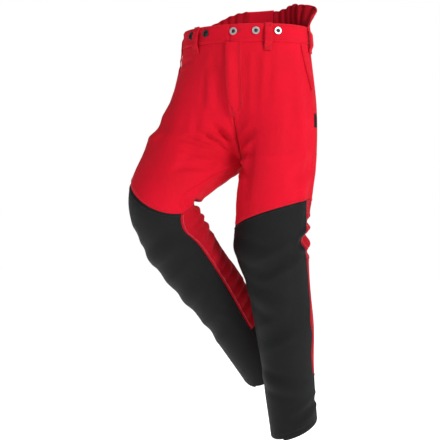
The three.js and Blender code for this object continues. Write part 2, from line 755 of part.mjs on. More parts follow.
function buildFly() {
  const rounding = 26;
  const stitchEdge = (across) => {
    const share = THREE.MathUtils.clamp((across + overlapWidth) / (flyWidth + overlapWidth), 0, 1);
    return flyBottom - rounding * (1 - Math.sqrt(1 - share * share * 0.96));
  };
  flyPanel('fly_placket', {
    from: -overlapWidth,
    to: flyWidth,
    top: waistbandHeight + 1,
    bottom: stitchEdge,
    lift: trimGap + trimThickness,
  }, red);
  const shield = new THREE.BoxGeometry(flyWidth * 1.4, zipLength - 4, trimThickness);
  addPiece('fly_shield', alongZip(shield, zipLength / 2, -zipBehind * 0.6), liningGrey);
  buildZip();
}

// ---- pockets and tab ----
const pocketAboveHip = 15;

function buildPockets() {
  for (const [name, leg] of Object.entries(legs)) {
    addPiece(`pocket_bag_${name}`, clothPanel(leg, {
      from: 0.24, to: 0.46, top: waistbandHeight + 8, bottom: hipBelowWaist - pocketAboveHip,
      columns: 10, rows: 10, lift: -(clothThickness + layerGap), thickness: trimThickness,
    }), liningGrey);
    addPiece(`pocket_edge_${name}`, clothPanel(leg, {
      from: 0.395, to: 0.415, top: waistbandHeight + 4, bottom: waistbandHeight + 118, columns: 2, rows: 6,
      lift: trimGap + trimThickness, thickness: trimThickness, drift: 0.065,
    }), darkRed);
  }
  addPiece('back_pocket', clothPanel(legs.right, {
    from: 0.7, to: 0.86, top: waistbandHeight + 40, bottom: waistbandHeight + 175, columns: 6, rows: 5,
    lift: trimGap + trimThickness, thickness: trimThickness,
  }), red);
  addPiece('side_tab', clothPanel(legs.left, {
    from: 0.475, to: 0.515, top: crotchDown * 0.65, bottom: crotchDown * 0.75, columns: 3, rows: 2,
    lift: trimGap + trimThickness, thickness: trimThickness,
  }), black);
}

for (const [name, leg] of Object.entries(legs)) {
  buildWaist(name, leg);
  buildLegPanels(name, leg);
  buildPads(name, leg);
}
buildCentreBack();
buildButtons();
buildBeltLoops();
buildFly();
buildPockets();

export default group;
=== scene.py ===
import bpy, math
import numpy as np
from mathutils import Matrix, Vector


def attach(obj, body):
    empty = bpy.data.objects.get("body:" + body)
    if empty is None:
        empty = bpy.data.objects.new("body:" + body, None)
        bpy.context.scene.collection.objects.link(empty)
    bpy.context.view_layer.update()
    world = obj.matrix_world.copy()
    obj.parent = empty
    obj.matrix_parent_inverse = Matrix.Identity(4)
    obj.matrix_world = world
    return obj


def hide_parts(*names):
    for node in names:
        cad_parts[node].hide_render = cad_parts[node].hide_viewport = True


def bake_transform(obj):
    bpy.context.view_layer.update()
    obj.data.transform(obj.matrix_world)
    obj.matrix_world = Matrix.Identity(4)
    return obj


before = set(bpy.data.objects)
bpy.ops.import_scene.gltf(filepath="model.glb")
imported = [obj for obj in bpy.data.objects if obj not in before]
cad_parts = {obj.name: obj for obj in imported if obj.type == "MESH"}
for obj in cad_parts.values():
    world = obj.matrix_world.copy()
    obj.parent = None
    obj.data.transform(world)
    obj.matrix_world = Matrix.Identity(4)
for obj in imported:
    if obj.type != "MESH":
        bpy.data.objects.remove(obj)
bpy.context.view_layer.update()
print("frame loaded")

# sizes of the garment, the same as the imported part, in metres
garment = {
    "waistGirth": 0.915, "seatGirth": 1.09, "frontRise": 0.338, "legLength": 0.717,
    "thighGirth": 0.625, "midThighGirth": 0.590, "kneeGirth": 0.555, "calfGirth": 0.465, "hemGirth": 0.388,
    "bandHeight": 0.044, "backRaise": 0.072, "hipBelowWaist": 0.190, "kneeBelowHip": 0.290,
    "kneeBendLength": 0.075,
    "widthShare": 0.182, "depthShare": 0.131, "crotchSetBack": -0.025, "hemBackRise": 0.040,
}
stances = {
    "left": {"thighOut": -3, "thighForward": 6, "shinOut": 3.5, "shinForward": -9, "turnOut": 4},
    "right": {"thighOut": 24, "thighForward": 26, "shinOut": -24, "shinForward": -32, "turnOut": 36},
}
sides = {"left": 1.0, "right": -1.0}
crotchDown = garment["frontRise"]
kneeDown = garment["hipBelowWaist"] + garment["kneeBelowHip"]
hemDown = garment["frontRise"] + garment["legLength"]
cuffDown = kneeDown + (hemDown - kneeDown) * 0.72


def mix(a, b, t):
    return a + (b - a) * t


def ease(low, high, x):
    t = np.clip((np.asarray(x, float) - low) / (high - low), 0, 1)
    return t * t * (3 - 2 * t)


def throughKeys(keys, x):  # smooth curve through (place, value) pairs
    places = np.array([k[0] for k in keys], float)
    values = np.array([k[1] for k in keys], float)
    x = np.clip(x, places[0], places[-1])
    i = np.clip(np.searchsorted(places, x, side="left") - 1, 0, len(keys) - 2)
    slopes = np.diff(values) / np.diff(places)
    ends = np.concatenate([[slopes[0]], (slopes[1:] + slopes[:-1]) / 2, [slopes[-1]]])
    step = (places[1:] - places[:-1])[i]
    t = (x - places[i]) / step
    start = (2 * t**3 - 3 * t**2 + 1) * values[i] + (t**3 - 2 * t**2 + t) * step * ends[i]
    return start + (3 * t**2 - 2 * t**3) * values[i + 1] + (t**3 - t**2) * step * ends[i + 1]


def roundRadius(girth):
    return girth / (2 * math.pi)


def halfWidth(down):
    w, s, k = garment["waistGirth"], garment["seatGirth"], garment["widthShare"]
    return throughKeys([(0, w * k), (crotchDown * 0.3, mix(w, s, 0.25) * k),
                        (crotchDown * 0.7, s * k * 0.975),
                        (crotchDown, s * k)], down)


def frontDepth(down):
    w, s, k = garment["waistGirth"], garment["seatGirth"], garment["depthShare"]
    return throughKeys([(0, w * k), (crotchDown * 0.4, s * k * 0.9), (crotchDown, s * k * 0.8)], down)


def backDepth(down):
    w, s, k = garment["waistGirth"], garment["seatGirth"], garment["depthShare"]
    return throughKeys([(0, w * k), (crotchDown * 0.35, s * k * 0.93), (crotchDown * 0.65, s * k),
                        (crotchDown, s * k * 0.86)], down)


def legWidth(down):
    g = garment
    return throughKeys([
        (crotchDown, roundRadius(g["thighGirth"]) * 1.06),
        (mix(crotchDown, kneeDown, 0.5), roundRadius(g["midThighGirth"]) * 1.1),
        (kneeDown, roundRadius(g["kneeGirth"]) * 1.09),
        (mix(kneeDown, hemDown, 0.3), roundRadius(mix(g["kneeGirth"], g["calfGirth"], 0.62)) * 0.99),
        (mix(kneeDown, hemDown, 0.58), roundRadius(g["calfGirth"]) * 0.89),
        (mix(kneeDown, hemDown, 0.78), roundRadius(mix(g["calfGirth"], g["hemGirth"], 0.5)) * 0.95),
        (hemDown, roundRadius(g["hemGirth"])),
    ], down)


def legDepth(down):
    g = garment
    return throughKeys([
        (crotchDown, roundRadius(g["thighGirth"])),
        (mix(crotchDown, kneeDown, 0.5), roundRadius(g["midThighGirth"]) * 0.97),
        (kneeDown, roundRadius(g["kneeGirth"]) * 0.94),
        (mix(kneeDown, hemDown, 0.3), roundRadius(mix(g["kneeGirth"], g["calfGirth"], 0.62))),
        (mix(kneeDown, hemDown, 0.58), roundRadius(g["calfGirth"]) * 0.95),
        (hemDown, roundRadius(g["hemGirth"]) * 1.02),
    ], down)


def unit(v):
    return v / np.linalg.norm(v, axis=-1, keepdims=True)


def legDirection(name, bend):
    s, a = sides[name], stances[name]
    lean = lambda degrees: math.tan(math.radians(degrees))
    thigh = unit(np.array([s * lean(a["thighOut"]), -lean(a["thighForward"]), -1.0]))
    shin = unit(np.array([s * lean(a["shinOut"]), -lean(a["shinForward"]), -1.0]))
    return unit(mix(thigh, shin, np.asarray(bend)[..., None]))


def bendAt(down):
    return ease(kneeDown - garment["kneeBendLength"], kneeDown + garment["kneeBendLength"], down)


def walkLeg(name, step=0.005):  # middle line of the leg, from the hip down
    hip = garment["hipBelowWaist"]
    places = np.arange(hip, hemDown + step, step)
    moves = legDirection(name, bendAt(places + step / 2)) * step
    start = np.array([sides[name] * float(halfWidth(hip)) / 2, 0, -hip])
    return hip + step * np.arange(len(places) + 1), np.vstack([start, start + np.cumsum(moves, axis=0)])


legLines = {name: walkLeg(name) for name in sides}


def legMiddle(name, down):
    places, line = legLines[name]
    below = np.stack([np.interp(down, places, line[:, k]) for k in range(3)], -1)
    above = np.stack([sides[name] * halfWidth(down) / 2, np.zeros_like(down), -down], -1)
    return np.where((down <= garment["hipBelowWaist"])[..., None], above, below)


def legFrame(name, down):
    s, hip = sides[name], garment["hipBelowWaist"]
    turn = math.radians(stances[name]["turnOut"]) * ease(hip, kneeDown, down)
    tilt = ease(hip * 0.8, mix(crotchDown, kneeDown, 0.6), down)
    normal = unit(mix(np.array([0, 0, -1.0]), legDirection(name, bendAt(down)), tilt[..., None]))
    outward = np.stack([s * np.cos(turn), np.sin(turn), np.zeros_like(turn)], -1)
    outward = unit(outward - normal * (outward * normal).sum(-1, keepdims=True))
    forward = np.stack([s * np.sin(turn), -np.cos(turn), np.zeros_like(turn)], -1)
    forward = forward - normal * (forward * normal).sum(-1, keepdims=True)
    forward = unit(forward - outward * (forward * outward).sum(-1, keepdims=True))
    return outward, forward


def legRing(name, around, down):
    outward, forward = legFrame(name, down)
    angle = 2 * math.pi * around
    above = mix(halfWidth(down) / 2, float(legWidth(crotchDown)), down / crotchDown)
    width = np.where(down < crotchDown, above, legWidth(down))
    depth = legDepth(np.maximum(down, crotchDown))
    point = legMiddle(name, down) - outward * (width * np.cos(angle))[..., None]
    return point + forward * (depth * np.sin(angle))[..., None]


def bodyRing(name, around, down):
    depth = mix(frontDepth(down), backDepth(down), ease(0.25, 0.75, around))
    x = sides[name] * halfWidth(down) * np.sin(math.pi * around)
    return np.stack([x, -depth * np.cos(math.pi * around), -down], -1)


def legShare(around, down):
    return np.clip(down / crotchDown, 0, 1) ** (3 - 1.6 * np.sin(math.pi * np.clip(around, 0, 1)))


def plainSurface(name, around, down):
    share = legShare(around, down)[..., None]
    return mix(bodyRing(name, around, down), legRing(name, around, down), share)


def centreSeam(behind, down):
    depth = backDepth(down) if behind else -frontDepth(down)
    share = np.clip(down / crotchDown, 0, 1) ** 3
    return np.stack([np.zeros_like(down), mix(depth, garment["crotchSetBack"], share),
                     -np.minimum(down, crotchDown)], -1)


# where the cloth stands away from the leg or lies closer to it
fullness = {
    "left": [
        # the inside of the knee, below the padding
        {"around": 0.05, "down": kneeDown + 0.080, "reach": 0.16, "length": 0.060, "amount": 0.015},
        # the outside of the calf
        {"around": 0.55, "down": kneeDown + 0.300, "reach": 0.18, "length": 0.090, "amount": 0.010},
    ],
    "right": [
        # the outside of the hip, pushed out by the lifted thigh
        {"around": 0.42, "down": garment["hipBelowWaist"] + 0.030, "reach": 0.18, "length": 0.090,
         "amount": 0.020},
        # the underside of the thigh, drawn against the leg
        {"around": 0.90, "down": garment["hipBelowWaist"] + 0.190, "reach": 0.14, "length": 0.060,
         "amount": -0.015},
        # the front of the shin, held off by the pad
        {"around": 0.30, "down": kneeDown + 0.140, "reach": 0.18, "length": 0.120, "amount": 0.015},
        # the calf, hanging behind the leg
        {"around": 0.85, "down": kneeDown + 0.300, "reach": 0.18, "length": 0.080, "amount": 0.012},
    ],
}


def fullnessAt(name, around, down):
    swell = np.zeros(np.shape(down))
    for f in fullness[name]:
        off = np.abs((around - f["around"]) % 1.0)
        off = np.minimum(off, 1 - off)
        swell = swell + f["amount"] * np.exp(-((off / f["reach"]) ** 2)
                                        - ((down - f["down"]) / f["length"]) ** 2)
    seam = 1 - ease(0, 0.08, np.minimum(np.abs(around), np.abs(1 - around)))
    return swell * (1 - seam * (1 - ease(crotchDown, crotchDown + 0.060, down)))


def restingSurface(name, around, down):
    around, down = np.broadcast_arrays(np.asarray(around, float), np.asarray(down, float))
    point = plainSurface(name, around, down)
    fade = 1 - ease(crotchDown, crotchDown + 0.150, down)
    held = np.minimum(down, crotchDown)
    for seam in (0, 1):
        near = (1 - ease(0, 0.4, np.abs(around - seam))) * fade * np.where(down > crotchDown, 0.5, 1.0)
        shift = centreSeam(seam, held) - plainSurface(name, np.full_like(around, seam), held)
        point = point + shift * near[..., None]
    both = centreSeam(0, held) - plainSurface(name, np.zeros_like(around), held)
    inner = (1 - ease(0, 0.4, np.minimum(around, 1 - around))) * fade * np.where(down > crotchDown, 0.5, 0.0)
    point = point + both * inner[..., None]
    return keepToSide(name, point, down)


def keepToSide(name, point, down):  # above the knee each leg keeps to its own side of the middle
    allowed = hemDown * ease(kneeDown, hemDown, down)
    point[..., 0] = sides[name] * np.maximum(-allowed, sides[name] * point[..., 0])
    return point


def normalOf(shape, name, around, down):
    across = shape(name, around + 0.004, down) - shape(name, around - 0.004, down)
    along = shape(name, around, down + 0.002) - shape(name, around, down - 0.002)
    return unit(np.cross(across, along) * -sides[name])


def exactSurface(name, around, down):
    around, down = np.broadcast_arrays(np.asarray(around, float), np.asarray(down, float))
    swell = fullnessAt(name, around, down)[..., None]
    point = restingSurface(name, around, down) + normalOf(restingSurface, name, around, down) * swell
    return keepToSide(name, point, down)


# the shape is worked out once on a close grid and looked up from there
grid = {"margin": 0.06, "roundStep": 0.005, "top": -0.100, "downStep": 0.004}
gridRound = np.arange(-grid["margin"], 1 + grid["margin"] + 1e-9, grid["roundStep"])
gridDown = np.arange(grid["top"], hemDown + 0.015, grid["downStep"])
shapeTable, normalTable = {}, {}
for side in sides:
    shapeTable[side] = exactSurface(side, gridRound[None, :], gridDown[:, None])
    normalTable[side] = normalOf(exactSurface, side, gridRound[None, :], gridDown[:, None])


def smoothWeights(t):
    return [-0.5 * t + t**2 - 0.5 * t**3, 1 - 2.5 * t**2 + 1.5 * t**3, 0.5 * t + 2 * t**2 - 1.5 * t**3,
            -0.5 * t**2 + 0.5 * t**3]


def lookUp(table, row, column):
    rows, columns = table.shape[0] - 1, table.shape[1] - 1
    r, c = np.clip(row, 0, rows - 1e-9), np.clip(column, 0, columns - 1e-9)
    r0, c0 = r.astype(int), c.astype(int)
    result = 0
    for i, rowWeight in enumerate(smoothWeights(r - r0)):
        across = 0
        for j, columnWeight in enumerate(smoothWeights(c - c0)):
            value = table[np.clip(r0 + i - 1, 0, rows), np.clip(c0 + j - 1, 0, columns)]
            across = across + value * columnWeight[..., None]
        result = result + across * rowWeight[..., None]
    return result


def gridPlace(around, down):
    around, down = np.broadcast_arrays(np.asarray(around, float), np.asarray(down, float))
    return (down - grid["top"]) / grid["downStep"], (around + grid["margin"]) / grid["roundStep"]


def surface(name, around, down):
    return lookUp(shapeTable[name], *gridPlace(around, down))


def surfaceNormal(name, around, down):
    return unit(lookUp(normalTable[name], *gridPlace(around, down)))


def slantFrom(inside, outside, bow=1.0):
    return lambda around: mix(inside, outside, (2 * np.abs(np.minimum(around % 1, 1 - around % 1))) ** bow)


kneeSeam = slantFrom(kneeDown + 0.031, kneeDown - 0.050)
# how far the seams between the hard-wearing front and the stretch back wander (around) down the leg
borders = {
    "left": {"outer": [(0.43, -0.040), (0.50, -0.020), (0.54, -0.045), (0.60, -0.010), (0.70, 0.0),
                       (0.75, -0.020),
                       (0.79, -0.008), (0.84, -0.024), (0.90, -0.006)],
             "inner": [(0.43, 0.0), (0.90, 0.0)]},
    "right": {"outer": [(0.43, 0.0), (0.90, 0.0)],
              "inner": [(0.50, 0.0), (0.535, 0.032), (0.56, 0.036), (0.59, 0.016), (0.62, 0.004),
                        (0.90, 0.0)]},
}


def outerBorder(side, down):
    return 0.5 + throughKeys(borders[side]["outer"], down)


def innerBorder(side, down):
    return throughKeys(borders[side]["inner"], down)


def hemEdge(around):
    return hemDown - garment["hemBackRise"] * (0.5 - 0.5 * np.cos(2 * math.pi * (around - 0.12)))


# ---- how the cloth settles: one simulated shell, then the creases that sitting seams pull ----
settling = {"columns": 72, "rowStep": 0.0095, "frames": 22, "growth": 0.0008, "hold": 0.16,
            "mostMove": 0.006, "gravity": 0.25}


def settleCloth():
    rows = int(round(hemDown / settling["rowStep"]))
    columns = settling["columns"]
    down = np.linspace(0, hemDown, rows + 1)[:, None] * np.ones((1, columns + 1))
    around = np.ones((rows + 1, 1)) * np.linspace(0, 1, columns + 1)[None, :]
    grids = {name: surface(name, around, down) for name in sides}
    index, points = {}, []
    for name in sides:
        own = np.full((rows + 1, columns + 1), -1)
        for r in range(rows + 1):
            joined = down[r, 0] <= crotchDown
            for c in range(columns + 1):
                if joined and c in (0, columns) and name == "right":
                    own[r, c] = index["left"][r, c]
                elif not joined and c == columns:
                    own[r, c] = own[r, 0]
                else:
                    own[r, c] = len(points)
                    points.append(grids[name][r, c])
        index[name] = own
    faces = []
    for name in sides:
        own = index[name]
        for r in range(rows):
            for c in range(columns):
                quad = [own[r, c], own[r + 1, c], own[r + 1, c + 1], own[r, c + 1]]
                quad = quad if name == "left" else quad[::-1]
                if len(set(quad)) == 4:
                    faces.append([int(k) for k in quad])
    mesh = bpy.data.meshes.new("settlingShell")
    mesh.from_pydata([tuple(p) for p in points], [], faces)
    shell = bpy.data.objects.new("settlingShell", mesh)
    bpy.context.scene.collection.objects.link(shell)
    hold = shell.vertex_groups.new(name="hold")
    height = np.array(points)[:, 2]
    for i, z in enumerate(height):
        hold.add([i], 1.0 if z > -0.05 else settling["hold"], "REPLACE")
    cloth = shell.modifiers.new("cloth", "CLOTH")
    use = cloth.settings
    use.quality = 5
    use.mass = 0.35
    use.tension_stiffness = use.compression_stiffness = 25
    use.shear_stiffness = 12
    use.bending_stiffness = 6.0
    use.shrink_min = -settling["growth"]
    use.vertex_group_mass = "hold"
    use.pin_stiffness = 0.6
    use.effector_weights.gravity = settling["gravity"]
    cloth.collision_settings.use_collision = False
    cloth.point_cache.frame_start, cloth.point_cache.frame_end = 1, settling["frames"]
    scene = bpy.context.scene
    for f in range(1, settling["frames"] + 1):
        scene.frame_set(f)
    settled = shell.evaluated_get(bpy.context.evaluated_depsgraph_get()).to_mesh()
    after = np.empty(len(settled.vertices) * 3)
    settled.vertices.foreach_get("co", after)
    moved = after.reshape(-1, 3) - np.array(points)
    length = np.linalg.norm(moved, axis=1, keepdims=True)
    moved *= np.minimum(1, settling["mostMove"] / np.maximum(length, 1e-9))
    scene.frame_set(1)
    bpy.data.objects.remove(shell)
    bpy.data.meshes.remove(mesh)
    return {name: moved[index[name]] for name in sides}


settled = settleCloth()
print("cloth settled")


def settledMove(name, around, down):  # smooth lookup between the simulated points
    grid = settled[name]
    moved = lookUp(grid, down / hemDown * (grid.shape[0] - 1), (around % 1.0000001) * (grid.shape[1] - 1))
    return moved * ease(garment["bandHeight"], garment["bandHeight"] + 0.05, down)[..., None]


# each crease runs between two places (around, down); depth and width in metres, minus sinks
creases = {
    "left": [
        {"from": (0.00, 0.318), "to": (0.16, 0.262), "depth": -0.0070, "width": 0.013},
        {"from": (0.00, 0.334), "to": (0.17, 0.322), "depth": -0.0070, "width": 0.011},
        {"from": (0.02, 0.345), "to": (0.16, 0.385), "depth": -0.0080, "width": 0.012},
        {"from": (0.97, 0.345), "to": (0.80, 0.375), "depth": -0.0060, "width": 0.011},
        {"from": (0.97, 0.330), "to": (0.78, 0.315), "depth": -0.0055, "width": 0.012},
        {"from": (0.47, 0.345), "to": (0.36, 0.400), "depth": -0.0060, "width": 0.020},
        {"from": (0.30, 0.300), "to": (0.47, 0.285), "depth": -0.0035, "width": 0.022},
        {"from": (0.08, 0.545), "to": (0.30, 0.590), "depth": 0.0065, "width": 0.022},
        {"from": (0.20, 0.610), "to": (0.42, 0.560), "depth": -0.0060, "width": 0.018},
        {"from": (0.10, 0.660), "to": (0.34, 0.715), "depth": 0.0055, "width": 0.022},
        {"from": (0.12, 0.790), "to": (0.36, 0.745), "depth": -0.0050, "width": 0.020},
        {"from": (0.10, 0.890), "to": (0.42, 0.930), "depth": 0.0045, "width": 0.018},
        {"from": (0.44, 0.548), "to": (0.62, 0.525), "depth": -0.0130, "width": 0.013},
        {"from": (0.50, 0.500), "to": (0.74, 0.490), "depth": -0.0070, "width": 0.010},
        {"from": (0.50, 0.580), "to": (0.76, 0.570), "depth": -0.0060, "width": 0.010},
        {"from": (0.50, 0.960), "to": (0.74, 0.975), "depth": -0.0050, "width": 0.010},
        {"from": (0.30, 1.000), "to": (0.48, 0.965), "depth": -0.0040, "width": 0.012},
    ],
    "right": [
        {"from": (0.00, 0.322), "to": (0.13, 0.252), "depth": -0.0115, "width": 0.010},
        {"from": (0.00, 0.334), "to": (0.19, 0.292), "depth": -0.0105, "width": 0.009},
        {"from": (0.00, 0.342), "to": (0.22, 0.330), "depth": -0.0085, "width": 0.009},
        {"from": (0.02, 0.352), "to": (0.20, 0.372), "depth": -0.0060, "width": 0.009},
        {"from": (0.00, 0.305), "to": (0.07, 0.225), "depth": 0.0045, "width": 0.010},
        {"from": (0.03, 0.368), "to": (0.14, 0.425), "depth": -0.0050, "width": 0.010},
        {"from": (0.97, 0.350), "to": (0.80, 0.385), "depth": -0.0060, "width": 0.010},
        {"from": (0.24, 0.082), "to": (0.46, 0.086), "depth": -0.0028, "width": 0.007},
        {"from": (0.10, 0.120), "to": (0.13, 0.215), "depth": 0.0050, "width": 0.013},
        {"from": (0.36, 0.300), "to": (0.46, 0.262), "depth": -0.0030, "width": 0.018},
        {"from": (0.12, 0.560), "to": (0.38, 0.600), "depth": 0.0060, "width": 0.021},
        {"from": (0.10, 0.600), "to": (0.36, 0.650), "depth": -0.0040, "width": 0.018},
        {"from": (0.30, 0.520), "to": (0.44, 0.560), "depth": -0.0035, "width": 0.016},
        {"from": (0.12, 0.700), "to": (0.36, 0.760), "depth": 0.0055, "width": 0.022},
        {"from": (0.14, 0.830), "to": (0.38, 0.870), "depth": -0.0045, "width": 0.020},
    ],
}


def kneePitCreases():  # the cloth bunches behind a bent knee and down the back of the calf
    chance = np.random.default_rng(11)
    for k in range(6):
        down = kneeDown - 0.020 + 0.024 * k
        start = 0.72 + 0.05 * chance.random()
        creases["right"].append({"from": (start, down), "to": (1.03, down + 0.016 * (chance.random() - 0.2)),
                                 "depth": -0.0025 - 0.0040 * min(k, 2) / 2, "width": 0.0085})
        if k % 2:
            creases["left"].append({"from": (start, down + 0.02), "to": (0.97, down + 0.026),
                                    "depth": -0.0040,
                                    "width": 0.008})
    for k in range(9):
        down = kneeDown + 0.140 + 0.030 * k + 0.008 * chance.random()
        creases["right"].append({"from": (0.80 + 0.08 * chance.random(), down - 0.014),
                                 "to": (1.0, down + 0.012 * (chance.random() - 0.5)), "depth": -0.0045,
                                 "width": 0.0080})


kneePitCreases()


def creaseShift(name, point):
    shift = np.zeros(point.shape[:-1])
    for c in creases[name]:
        t = np.linspace(0, 1, 9)
        line = surface(name, mix(c["from"][0], c["to"][0], t), mix(c["from"][1], c["to"][1], t))
        low, high = line.min(0) - c["width"] * 3, line.max(0) + c["width"] * 3
        near = np.all((point > low) & (point < high), axis=-1)
        if not near.any():
            continue
        p = point[near]
        best, where = np.full(len(p), 9.0), np.zeros(len(p))
        for k in range(8):
            a, b = line[k], line[k + 1]
            s = np.clip(((p - a) @ (b - a)) / ((b - a) @ (b - a)), 0, 1)
            d = np.linalg.norm(p - (a + s[:, None] * (b - a)), axis=1)
            closer = d < best
            best[closer], where[closer] = d[closer], (k + s[closer]) / 8
        x = best / c["width"]
        shape = np.exp(-x * x) - 0.45 * np.exp(-((x - 1.5) / 0.6) ** 2)
        shift[near] += c["depth"] * shape * np.sin(math.pi * np.clip(0.12 + where * 0.88, 0, 1)) ** 0.7
    return shift


def draped(name, around, down, lift=0.0):
    around, down = np.broadcast_arrays(np.asarray(around, float), np.asarray(down, float))
    point = surface(name, around, down)
    shift = creaseShift(name, point) * ease(garment["bandHeight"], garment["bandHeight"] + 0.03, down)
    moved = point + settledMove(name, around, down)
    moved = moved + surfaceNormal(name, around, down) * (shift + lift)[..., None]
    keep = ease(crotchDown, crotchDown + 0.06, down)
    edge = np.minimum(around, 1 - around)
    pull = (1 - ease(0.0, 0.05, edge)) * (1 - keep)
    return mix(moved, point + surfaceNormal(name, around, down) * np.asarray(lift)[..., None],
               pull[..., None])


# ---- cloth finishes ----
finishes = {}


def clothFinish(name, colour, shade, roughness, weave, sheen, fade=0.25):
    material = bpy.data.materials.new(name)
    material.use_nodes = True
    nodes, links = material.node_tree.nodes, material.node_tree.links
    nodes.clear()
    out = nodes.new("ShaderNodeOutputMaterial")
    shader = nodes.new("ShaderNodeBsdfPrincipled")
    shader.inputs["Sheen Weight"].default_value = sheen
    shader.inputs["Sheen Roughness"].default_value = 0.45
    shader.inputs["Specular IOR Level"].default_value = 0.14
    links.new(shader.outputs[0], out.inputs[0])
    place = nodes.new("ShaderNodeTexCoord")
    cloudy = nodes.new("ShaderNodeTexNoise")  # handling and washing leave soft patches
    cloudy.inputs["Scale"].default_value = 7
    cloudy.inputs["Detail"].default_value = 5
    links.new(place.outputs["Object"], cloudy.inputs["Vector"])
    fine = nodes.new("ShaderNodeTexNoise")  # slubs in the yarn
    fine.inputs["Scale"].default_value = 420
    fine.inputs["Detail"].default_value = 2
    links.new(place.outputs["Object"], fine.inputs["Vector"])
    warp = nodes.new("ShaderNodeTexWave")
    warp.bands_direction = "DIAGONAL" if weave["twill"] else "X"
    warp.inputs["Scale"].default_value = weave["scale"]
    warp.inputs["Distortion"].default_value = 0.6
    weft = nodes.new("ShaderNodeTexWave")
    weft.bands_direction = "Y"
    weft.inputs["Scale"].default_value = weave["scale"] * 0.8
    weft.inputs["Distortion"].default_value = 0.6
    for wave in (warp, weft):
        links.new(place.outputs["UV"], wave.inputs["Vector"])
    yarn = nodes.new("ShaderNodeMath")
    yarn.operation = "MULTIPLY"
    links.new(warp.outputs["Fac"], yarn.inputs[0])
    links.new(weft.outputs["Fac"], yarn.inputs[1])
    tone = nodes.new("ShaderNodeValToRGB")
    tone.color_ramp.elements[0].position = 0.32
    tone.color_ramp.elements[0].color = (*shade, 1)
    tone.color_ramp.elements[1].position = 0.68
    tone.color_ramp.elements[1].color = (*colour, 1)
    links.new(cloudy.outputs["Fac"], tone.inputs["Fac"])
    slub = nodes.new("ShaderNodeMix")
    slub.data_type = "RGBA"
    slub.blend_type = "MULTIPLY"
    slub.inputs[0].default_value = fade
    links.new(tone.outputs[0], slub.inputs[6])
    links.new(fine.outputs["Color"], slub.inputs[7])
    weaveTone = nodes.new("ShaderNodeMix")
    weaveTone.data_type = "RGBA"
    weaveTone.blend_type = "MULTIPLY"
    weaveTone.inputs[0].default_value = 0.22
    links.new(slub.outputs[2], weaveTone.inputs[6])
    links.new(yarn.outputs[0], weaveTone.inputs[7])
    links.new(weaveTone.outputs[2], shader.inputs["Base Color"])
    rough = nodes.new("ShaderNodeMapRange")
    rough.inputs["To Min"].default_value = roughness - 0.08
    rough.inputs["To Max"].default_value = min(1, roughness + 0.08)
    links.new(cloudy.outputs["Fac"], rough.inputs["Value"])
    links.new(rough.outputs[0], shader.inputs["Roughness"])
    bump = nodes.new("ShaderNodeBump")
    bump.inputs["Strength"].default_value = weave["strength"]
    bump.inputs["Distance"].default_value = 0.0004
    links.new(yarn.outputs[0], bump.inputs["Height"])
    ripple = nodes.new("ShaderNodeBump")  # small puckers a soft cloth always has
    ripple.inputs["Strength"].default_value = 0.25
    ripple.inputs["Distance"].default_value = 0.003
    soft = nodes.new("ShaderNodeTexNoise")
    soft.inputs["Scale"].default_value = 38
    soft.inputs["Detail"].default_value = 3
    links.new(place.outputs["Object"], soft.inputs["Vector"])
    links.new(soft.outputs["Fac"], ripple.inputs["Height"])
    links.new(bump.outputs[0], ripple.inputs["Normal"])
    links.new(ripple.outputs[0], shader.inputs["Normal"])
    finishes[name] = material
    return material


def metalFinish(name, colour, roughness):
    material = bpy.data.materials.new(name)
    material.use_nodes = True
    nodes, links = material.node_tree.nodes, material.node_tree.links
    shader = nodes["Principled BSDF"]
    shader.inputs["Metallic"].default_value = 1.0
    place = nodes.new("ShaderNodeTexCoord")
    wear = nodes.new("ShaderNodeTexNoise")
    wear.inputs["Scale"].default_value = 260
    wear.inputs["Detail"].default_value = 4
    links.new(place.outputs["Object"], wear.inputs["Vector"])
    tone = nodes.new("ShaderNodeValToRGB")
    tone.color_ramp.elements[0].color = (*[c * 0.72 for c in colour], 1)
    tone.color_ramp.elements[1].color = (*colour, 1)
    links.new(wear.outputs["Fac"], tone.inputs["Fac"])
    links.new(tone.outputs[0], shader.inputs["Base Color"])
    rough = nodes.new("ShaderNodeMapRange")
    rough.inputs["To Min"].default_value = roughness
    rough.inputs["To Max"].default_value = roughness + 0.2
    links.new(wear.outputs["Fac"], rough.inputs["Value"])
    links.new(rough.outputs[0], shader.inputs["Roughness"])
    finishes[name] = material
    return material


redCloth = clothFinish("redTwill", (0.860, 0.0035, 0.026), (0.740, 0.0025, 0.019), 0.82,
                       {"twill": True, "scale": 420, "strength": 0.5}, 0.012)
# stretch back cloth: its red is darker than redTwill, partly the stretch cloth's own tone and partly painted
# shade for the shaded inner side of the raised back
redStretchPaintedShade = clothFinish("redStretchBackPaintedShade", (0.620, 0.003, 0.018), (0.480, 0.002, 0.013), 0.86,
                         {"twill": False, "scale": 380, "strength": 0.6}, 0.012)
blackCloth = clothFinish("blackHardWear", (0.0110, 0.0115, 0.0122), (0.0062, 0.0066, 0.0072), 0.60,
                         {"twill": False, "scale": 300, "strength": 0.7}, 0.004, 0.35)
padCloth = clothFinish("sawPadding", (0.74, 0.72, 0.64), (0.62, 0.60, 0.54), 0.92,
                       {"twill": False, "scale": 150, "strength": 0.9}, 0.1)
liningCloth = clothFinish("lining", (0.060, 0.060, 0.064), (0.040, 0.040, 0.044), 0.85,
                          {"twill": False, "scale": 500, "strength": 0.4}, 0.1)
redThread = clothFinish("redThread", (0.62, 0.012, 0.030), (0.50, 0.008, 0.022), 0.6,
                        {"twill": True, "scale": 900, "strength": 0.3}, 0.2)
paleThread = clothFinish("paleThread", (0.78, 0.28, 0.32), (0.66, 0.20, 0.24), 0.6,
                         {"twill": True, "scale": 900, "strength": 0.3}, 0.2)
blackThread = clothFinish("blackThread", (0.030, 0.030, 0.032), (0.020, 0.020, 0.022), 0.5,
                          {"twill": True, "scale": 900, "strength": 0.3}, 0.2)
brightMetal = metalFinish("brightRing", (0.62, 0.62, 0.63), 0.34)
